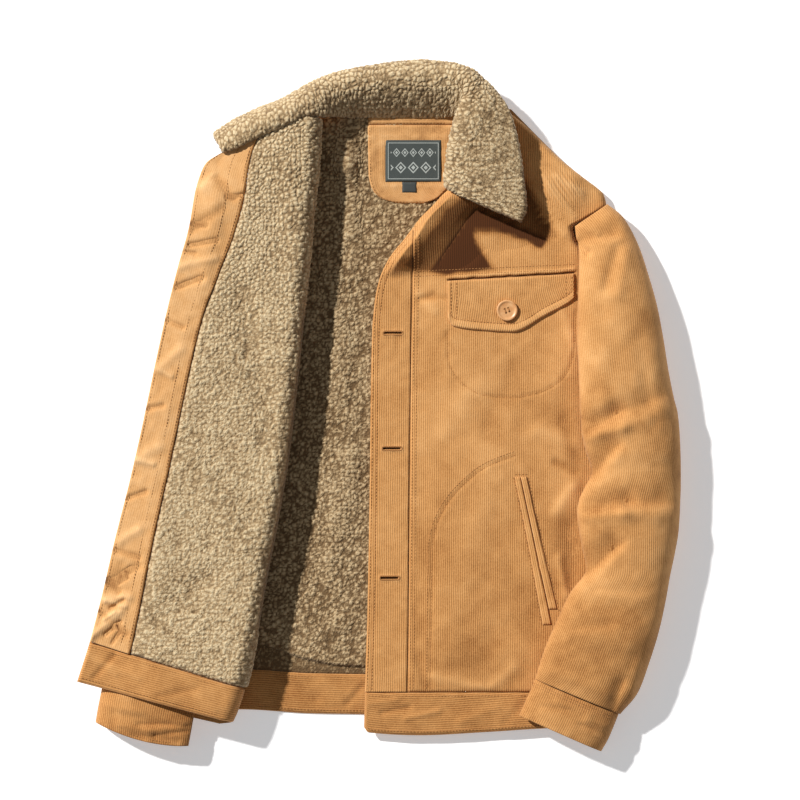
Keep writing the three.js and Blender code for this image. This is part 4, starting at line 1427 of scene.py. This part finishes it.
fit(ply("patch", patch_sheet, even(0, 1, 0.018), even(221, 307.6, 1.6), SEAM, SEAM + SHELL, patch_detail,
        (1.4, 1.4, 1.4, 0.8)),
    INNER_CORD, "neck_patch")
fit(ply("tape", on_lining, *across_and_up(NECK_TAPE, 2.0, 1.4), SEAM, SEAM + TAPE_THICK, patch_detail,
        (0.8, 0.8, 1.4, 1.0), turn=True),
    INNER_CORD, "neck_tape")
fit(ply("label", on_lining, *across_and_up(LABEL, 1.5, 1.5), LABEL_LOW, LABEL_LOW + 0.8, label_detail,
        (0.6, 0.6, 0.6, 0.6)),
    LABEL_CLOTH, "neck_label")
fit(ply("tag", on_lining, *across_and_up(SIZE_TAG, 1.5, 1.5), LABEL_LOW, LABEL_LOW + 0.6, label_detail,
        (0.5, 0.5, 0.5, 0.5)),
    TAG_CLOTH, "size_tag")


# ---- left front ----

def panel_detail(points, along, up):
    """Fine relief of the left front, with painted shade that follows it, painted shadow in the hollow below
    the neck edge and in the gap above the flap, and darker towards the bottom.
    """
    x, y = plan(points)
    rise = fine_front(x, y)
    broad = relief(FRONT_CREASES, x, y)
    low = ease((-40 - y) / 150)
    # gap is the painted shadow line just above the flap.
    gap = plateau(x, 75, 217, 2, 2) * bell(y - flap_gap(x), 1.3)
    shade = np.maximum(0.48 + 0.2 * np.clip(rise, -1.1, 1.4) + 0.05 * broad - 0.13 * low, 0.25)
    return rise, np.clip(shade * (1 - neck_shadow(x, y)) * (1 - 0.95 * gap), 0, 1)


def placket_detail(points, along, up):
    """Puckers along both edges, stitch lines, and the buttonholes with their raised lips, with painted shade
    that follows them: dark in the buttonholes' slits and in the hollow below the neck edge.
    """
    x, y = plan(points)
    edge = x - LEFT_FRONT.edge(y)
    seam = LEFT_FRONT.seam(y) - x
    rise = 0.16 * noise(x, y, 7, 61) + 0.35 * np.exp(-edge / 3) * noise(x * 0.3, y, 7, 62)
    rise = rise + 0.25 * np.exp(-seam / 5) * noise(x * 0.3, y, 6, 63)
    rise = rise - 0.3 * bell(edge - 2.0, 0.8) - 0.3 * bell(edge - 7.2, 0.8)
    for hole_x, hole_y in BUTTONHOLES:
        away = np.maximum(np.abs(x - hole_x) - BUTTONHOLE[0] / 2, np.abs(y - hole_y) - BUTTONHOLE[1] / 2)
        rise = rise + 0.5 * bell(away - 1.6, 1.3) - 3.0 * (away < 0.1)
        rise = rise + 0.35 * np.exp(-np.maximum(away, 0) / 5) * noise(x, y, 4, 64)
    return rise, np.clip((0.47 + 0.3 * rise) * (1 - neck_shadow(x, y)), 0, 1)


fit(ply("front_left_pile", front_strip(lambda y: LEFT_FRONT.facing(y) + 1, rolled_end), even(0, 0.995, 0.03),
        even(-304, 320, 7), LINING_LOW, LINING_HIGH),
    SHERPA, "front_left_lining")
fit(ply("facing_left_cloth", front_strip(LEFT_FRONT.edge, LEFT_FRONT.facing), even(0, 1, 0.1),
        even(-316.6, 239, 3), *FACING, None, (0.8, 0.8, 0, 0)),
    INNER_CORD, "facing_left")
fit(ply("placket_left_cloth", front_strip(LEFT_FRONT.edge, LEFT_FRONT.seam), even(0, 1, 0.029),
        even(-317, 192, 1.2), *PLACKET, placket_detail, (1.7, 1.2, 0, 0.6), lift=neck_swell, upright=True),
    CORDUROY, "placket_left")
fit(ply("front_left_panel", front_sheet(LEFT_FRONT.neck), joined(even(0, 1, 0.0085), ROLL_OUT),
        joined(even(-317, 132, 2.0), even(132, 156, 0.9), even(156, 320, 1.7)), -SHELL, 0, panel_detail,
        (0.9, 0, 0.9, 0.9), lift=neck_swell, upright=True),
    CORDUROY, "front_left")
fit(ply("band_left", front_sheet(LEFT_FRONT.edge, left_band_row), joined(even(0, 1, 0.0068), ROLL_OUT),
        even(HEM, BAND_TOP, 1.5), closing(-BAND, 1.0), closing(0, -1.0),
        creases_and_painted_shade(LEFT_BAND_CREASES, 0.3, 0.06, 1.1), (1.5, 0, 2.2, 1.4), turn=True),
    CORDUROY, "hem_band_left")


# ---- chest flap and lower pocket ----

def flap_sheet(u, v):
    x = mix(*FLAP_ENDS, u)
    y = mix(FLAP.bottom(x), FLAP.top(x), v)
    return stack(x, y, front_height(x, y))


def flap_detail(points, along, up):
    """A thick lower hem, stitch lines, and the pull of the button, with painted shade that follows them."""
    x, y = plan(points)
    lower = y - FLAP.bottom(x)
    side = np.minimum(x - FLAP_ENDS[0], FLAP_ENDS[1] - x)
    button = np.hypot(x - FLAP_BUTTON[0], y - FLAP_BUTTON[1])
    rise = 1.1 * bell(lower - 3, 5) + 0.28 * noise(x, y, 13, 71) + 0.14 * noise(x, y, 5, 72)
    rise = rise - 0.35 * bell(lower - 9.5, 1.0) - 0.3 * bell(lower - 3.2, 0.8)
    rise = rise - 0.7 * bell(button, 13) + 0.3 * np.exp(-button / 18) * noise(x, y, 8, 73)
    rise = rise - 0.3 * bell(side - 3.4, 0.8) + 0.4 * bell(side - 1.4, 1.4)
    return rise, np.clip(0.5 + 0.22 * rise, 0, 1)


def welt_detail(points, along, up):
    x, y = plan(points)
    rise = 0.3 * bell(x - WELTS.slit(y), 3.0) + 0.25 * noise(x, y, 10, 81)
    # Painted shade that follows the relief.
    return rise, np.clip(0.5 + 0.3 * rise, 0, 1)


fit(ply("flap", flap_sheet, even(0, 1, 0.0095), even(0, 1, 0.028), SEAM, SEAM + FLAP_THICK, flap_detail,
        (1.2, 1.2, 1.6, 1.0)),
    CORDUROY, "chest_flap_left")
fit(ply("welt_front", on_front(WELTS.front, lambda y: WELTS.slit(y) - 0.5), even(0, 1, 0.12),
        even(-243, -80, 1.6), SEAM, SEAM + SHELL, welt_detail, (0.9, 1.2, 0.9, 0.9)),
    CORDUROY, "welt_left_front")
fit(ply("welt_side", on_front(lambda y: WELTS.slit(y) + 0.5, WELTS.side), even(0, 1, 0.12),
        even(-226, -80, 1.6), SEAM, SEAM + SHELL, welt_detail, (1.2, 0.9, 0.9, 0.9)),
    CORDUROY, "welt_left_side")


# ---- sleeves and cuffs ----

def sleeve_detail(seed, end, tone=0.5, low=0.0):
    """Soft bumps and puckers at the end seam, with painted shade that follows them, and a shade that darkens
    towards the hem by low.
    """

    def fine(points, arc, far):
        rise = 0.7 * noise(arc, far * 0.8, 26, seed) + 0.35 * noise(arc, far, 10, seed + 1)
        rise = rise + 0.45 * np.exp(-(end - far) / 8) * noise(arc, far * 0.2, 7, seed + 2)
        return rise, np.clip(tone + 0.22 * rise - low * ease((-180 - points[..., 1]) / 70), 0, 1)

    return fine


RIGHT_CREASES = [
    [-232, 96, -180, 78, 8.0, -1.6],
    [-236, 70, -190, 60, 7.0, 1.4],
    [-252, -56, -222, -64, 6.0, -1.6],
    [-262, -110, -226, -100, 7.0, 1.4],
    [-276, -170, -236, -186, 7.0, -1.8],
    [-282, -196, -250, -204, 6.0, 1.5],
    [-294, -240, -262, -256, 6.0, -1.4],
    [-300, -290, -240, -306, 6.0, 1.4],
]
fit(tube("sleeve_left_cloth", LEFT_SLEEVE, SLEEVE_WALL, 160, 1.7, SLEEVE_CREASES, True, 24,
         sleeve_detail(91, 560, 0.5, 0.14), SLEEVE_FOLDS),
    SLEEVE_CORD, "sleeve_left")
fit(tube("cuff_left_cloth", LEFT_CUFF, CUFF_WALL, 112, 1.7, CUFF_CREASES, False, 8,
         sleeve_detail(95, 40, 0.3), reach=1.8),
    SLEEVE_CORD, "cuff_left")
fit(tube("sleeve_right_cloth", RIGHT_SLEEVE, SLEEVE_WALL - 1.5, 112, 2.6, RIGHT_CREASES, True, 20,
         sleeve_detail(97, 560)),
    SLEEVE_CORD, "sleeve_right")
fit(tube("cuff_right_cloth", RIGHT_CUFF, CUFF_WALL, 104, 1.7, CUFF_CREASES, False, 8,
         sleeve_detail(99, 44, 0.28), reach=1.2),
    SLEEVE_CORD, "cuff_right")


# ---- folded right front ----

def fold_side_sunk_and_shaded(points):
    """Along the outside of the fold the pile lies lower and flatter, and its shade is darkened there: painted
    shade on the fold's steep side.
    """
    climbed = (points[..., 2] - FRONT_TOP) / (2 * FOLD_RADIUS)
    steep_side = ease((0.86 - climbed) / 0.16) * plateau(points[..., 1], -262, 120, 30, 30)
    return 0.9 * steep_side, 1 - 0.85 * steep_side


def facing_detail(points, along, up):
    """Creases and puckers beside the stitch lines, with painted shade that follows them, and a darker strip
    along the outer edge.
    """
    x, y = plan(points)
    rise = relief(FACING_CREASES, x, y) * 1.5 + 0.45 * noise(x, y, 18, 141) + 0.3 * noise(x, y, 7, 142)
    middle = np.abs(along - 0.3 * along[:, -1:])
    rise = rise + 0.7 * np.exp(-np.minimum(along, middle) / 5) * noise(along * 0.3, up, 7, 143)
    edge = along[:, -1:] - along
    return rise, np.clip(0.61 + 0.12 * rise - 0.18 * bell(edge - 1.5, 1.6), 0, 1)


def backwards(*parts):
    """Joined spacings for a turned surface."""
    return -joined(*parts)[::-1]


fit(ply("front_right_panel", turned(pile_run),
        backwards(ROLL_IN, even(0, 1, 0.12), even(1, 2, 0.1), even(2, 3, 0.05)), even(*FOLD_ROWS, 0.12),
        0, SHELL),
    CORDUROY, "front_right")
fit(pile_ply("front_right_pile", turned(pile_run),
             backwards(even(0.02, 0.8, 0.2), even(0.8, 1, 0.02), even(1, 2, 0.027), even(2, 3, 0.0148)),
             even(0.01, 11, 0.0255), -LINING_HIGH, -LINING_LOW, 131, fold_side_sunk_and_shaded),
    SHERPA, "front_right_lining")
fit(ply("facing_right_cloth", turned(placket_run), backwards(even(0, 1, 0.022)), even(*FOLD_ROWS, 0.025),
        -FACING[1], -FACING[0], facing_detail, (1.2, 0.8, 0, 1.0)),
    INNER_CORD, "facing_right")
fit(ply("placket_right_cloth", placket_run, even(0, 1, 0.06), even(*FOLD_ROWS, 0.06), *PLACKET, None,
        (0, 1.6, 0, 0.8)),
    CORDUROY, "placket_right")
fit(ply("band_right", turned(folded_sheet),
        backwards(ROLL_IN, even(0, 1, 0.06), even(1, 2, 0.04), even(2, 3, 0.0125)), even(-1, 0, 0.036),
        closing(0, 1.0, -0.66, 0.34), closing(BAND, -1.0, -0.66, 0.34), creases_and_painted_shade(RIGHT_BAND_CREASES, 0.36, 0.1),
        (1.4, 0, 2.2, 1.2), turn=True),
    CORDUROY, "hem_band_right")


# ---- collar ----

fit(pile_ply("collar_pile", collar_sheet, even(0, 17, 0.034),
             joined(even(-0.1, 0.4, 0.031), even(0.4, 1, 0.0115)), SEAM / 2, SEAM / 2 + PILE, 151,
             tone=-0.05),
    SHERPA, "collar_top")
fit(ply("collar_under_cloth", turned(collar_sheet), backwards(even(0, 17, 0.2)), even(0, 1, 0.1), SEAM / 2,
        SEAM / 2 + SHELL),
    CORDUROY, "collar_under")


# ---- buttons ----

def picked(thing, choose):
    """Selects, in edit mode, the faces that a test picks."""
    mesh = bmesh.from_edit_mesh(thing.data)
    for face in mesh.faces:
        face.select_set(bool(choose(face)))
    mesh.select_flush_mode()
    bmesh.update_edit_mesh(thing.data)


def cylinder(sides, radius, depth, x=0, y=0):
    """A cylinder at half the button's height, with sizes in mm."""
    bpy.ops.object.select_all(action="DESELECT")
    bpy.ops.mesh.primitive_cylinder_add(vertices=sides, radius=radius * MM, depth=depth * MM,
                                        location=(x * MM, y * MM, BUTTON_DEPTH / 2 * MM))
    return bpy.context.object


def turned_button():
    """A turned button with a raised rim, a dished middle and four holes."""
    body = cylinder(48, BUTTON_RADIUS, BUTTON_DEPTH)
    bpy.ops.object.transform_apply(location=True)
    bpy.ops.object.mode_set(mode="EDIT")
    bpy.context.tool_settings.mesh_select_mode = (False, False, True)
    picked(body, lambda face: face.normal.z > 0.9)
    for thickness, depth in ((1.7, 0), (1.5, -0.95), (1.1, -0.15)):
        bpy.ops.mesh.inset(thickness=thickness * MM, depth=depth * MM)
    picked(body, lambda face: abs(face.normal.z) < 0.3)
    bpy.ops.mesh.bevel(offset=0.75 * MM, segments=4, affect="EDGES")
    bpy.ops.object.mode_set(mode="OBJECT")
    for hole in ((-2, -2), (2, -2), (2, 2), (-2, 2)):
        drill = cylinder(20, 1.15, 8, *hole)
        drill.select_set(False)
        body.select_set(True)
        bpy.context.view_layer.objects.active = body
        cut = body.modifiers.new("hole", "BOOLEAN")
        cut.operation = "DIFFERENCE"
        cut.object = drill
        bpy.ops.object.modifier_apply(modifier=cut.name)
        bpy.data.objects.remove(drill)
    bpy.ops.object.shade_smooth_by_angle(angle=math.radians(32))
    return body


def sewn_button(model, name, node, centre, normal, spin):
    """A copy of the button at its place, sewn on with two bars of thread."""
    turn = Vector((0, 0, 1)).rotation_difference(Vector(normal)).to_matrix() @ Matrix.Rotation(spin, 3, "Z")
    mesh = model.data.copy()
    mesh.transform(Matrix.Translation(Vector((centre - CENTRE) * MM)) @ turn.to_4x4())
    fit(placed(name, mesh), BUTTON, node)
    rotate = np.array(turn)
    bar = np.array([(0, -2.4, -2.4), (0, -1.5, -1.1), (0, 0, -0.8), (0, 1.5, -1.1), (0, 2.4, -2.4)])
    lines = []
    for hole_x in (-2.0, 2.0):
        for shift in (-0.45, 0.0, 0.45):
            lines.append(((bar + (hole_x + shift, 0, BUTTON_DEPTH)) @ rotate.T + centre, rotate[:, 2]))
    fit(stitches(f"{name}_thread", lines, 1.25, 0.9, 0.5, 0.1), THREAD)


model = turned_button()
chest = np.array([*FLAP_BUTTON, float(front_height(*FLAP_BUTTON)) + SEAM + FLAP_THICK + SEAM])
sewn_button(model, "button_chest", "chest_button", chest, (0, 0, 1), math.radians(20))
for number, row in enumerate(np.array(BUTTON_ROWS), 1):
    wide = abs(folded_sheet(np.array(3.0), row)[0] - folded_sheet(np.array(2.0), row)[0])
    at, facing_way = framed(folded_sheet, 3 - BUTTON_INSET / wide, row)
    sewn_button(model, f"button_front_{number}", f"button_{number}", at + facing_way * (SEAM + 0.2),
                facing_way, 0)
bpy.data.objects.remove(model)


# ---- stitching ----

def column(read, away, start, end):
    """A path beside an edge that a table gives by y."""
    y = np.linspace(start, end, int((end - start) / 5.0))
    return np.column_stack([read(y) + away, y])


def placket_level(x, y):
    return FRONT_TOP - 0.3 + neck_swell(x, y)


def flap_level(x, y):
    return front_height(x, y) + SEAM + FLAP_THICK


seams = lifted(placket_level, [column(LEFT_FRONT.edge, 2.0, -315, 188),
                               column(LEFT_FRONT.edge, 7.2, -315, 176)])
seams += lifted(front_face, [column(LEFT_FRONT.neck, 2.2, -314, 196),
                             column(LEFT_FRONT.neck, 6.2, -314, 190)])
flap_x = np.linspace(78, 213.5, 34)
flap_paths = [np.column_stack([flap_x, FLAP.bottom(flap_x) + away]) for away in (3.2, 9.5)]
for side_x in (79.4, 85.8, 206.0, 212.4):
    side_y = np.linspace(FLAP.bottom(side_x) + 3, FLAP.top(side_x) - 2, 9)
    flap_paths.append(np.column_stack([np.full(9, side_x), side_y]))
seams += lifted(flap_level, flap_paths, 0.2)
above_x, above_y = np.linspace(40, 216, 34), FLAP.top(np.linspace(*FLAP_ENDS, 34))
seams += lifted(front_face, [np.column_stack([above_x, above_y + away]) for away in (5.0, 10.5)])
seams += lifted(front_face, [CHEST_BAG, LOWER_BAG, shifted(LOWER_BAG, -4.4)])
seams += lifted(front_face, [column(WELTS.front, -1.6, -243, -80), column(WELTS.side, 1.6, -228, -80),
                             np.column_stack([np.linspace(149, 164, 5), np.full(5, -77.5)])], 0.1)
for v in (-321.5, -358.0):
    line, _ = on_sheet(front_sheet(LEFT_FRONT.edge, left_band_row), np.linspace(0.01, 0.995, 70), v, 0.0)
    seams.append((line, UP))
for v in (-321.5, -357.5):
    line, _ = on_sheet(back_sheet, np.linspace(0.18, 0.5, 40), v, BAND - 0.1)
    seams.append((line, UP))
fit(stitches("stitches_main", seams), THREAD)

inner = []
rows = np.linspace(0.1, 10.9, 150)
for share in (0.06, 0.93, np.interp(rows, [0, 11], [0.25, 0.4])):
    inner.append(on_sheet(turned(placket_run), -share, rows, -FACING[0] - 0.1))
for row in (-0.1, -0.88):
    inner.append(on_sheet(turned(folded_sheet), -np.linspace(2.03, 2.98, 40), row, BAND - 0.2))
y = np.linspace(223, 306, 24)
patch_x = np.concatenate([NECK_PATCH.left(y[::-1]) + 2.2, [35], NECK_PATCH.right(y) - 2.2])
patch_path = np.column_stack([patch_x, np.concatenate([y[::-1], [222.6], y])])
tape_path = np.column_stack([np.linspace(-11, 85, 20), np.full(20, 309.6)])
inner += lifted(lambda x, y: 0 * x, [patch_path], MEET + SEAM + SHELL)
inner += lifted(lambda x, y: 0 * x, [tape_path], MEET + SEAM + TAPE_THICK)
fit(stitches("stitches_inner", inner), DARK_THREAD)

cuff_lines = []
cuff_arc = np.linspace(math.pi * 0.03, math.pi * 0.97, 60)
for cuff in (LEFT_CUFF, RIGHT_CUFF):
    for ring in (0.3, 0.55, 2.8):
        cuff_lines.append((sleeve_section(cuff, np.full(60, ring), cuff_arc, 0.0, CUFF_CREASES), UP))
fit(stitches("stitches_cuffs", cuff_lines), THREAD)


def buttonhole(centre):
    """The close stitches round a buttonhole, with an eye at either end."""
    cx, cy = centre
    length, width = BUTTONHOLE
    half, level = length / 2, FRONT_TOP + 0.15
    lines = []
    for k in range(int(length / 0.75)):
        x = cx - half + 0.4 + k * 0.75
        for side in (-1, 1):
            near = cy + side * width / 2
            lines.append((np.array([[x, near, level], [x, near + side * 1.9, level]]), UP))
    for k in range(7):
        angle = math.pi * (k - 3) / 6.5
        for side in (-1, 1):
            c, s = math.cos(angle) * side, math.sin(angle)
            near = np.array([cx + side * half, cy, level])
            foot, end = (0.6 * c, (width / 2) * s, 0), (2.3 * c, (width / 2 + 1.7) * s, 0)
            lines.append((np.array([near + foot, near + end]), UP))
    return lines


hole_lines = [line for centre in BUTTONHOLES for line in buttonhole(centre)]
fit(stitches("buttonhole_thread", hole_lines, 2.0, 1.95, 0.75, 0.25), THREAD)
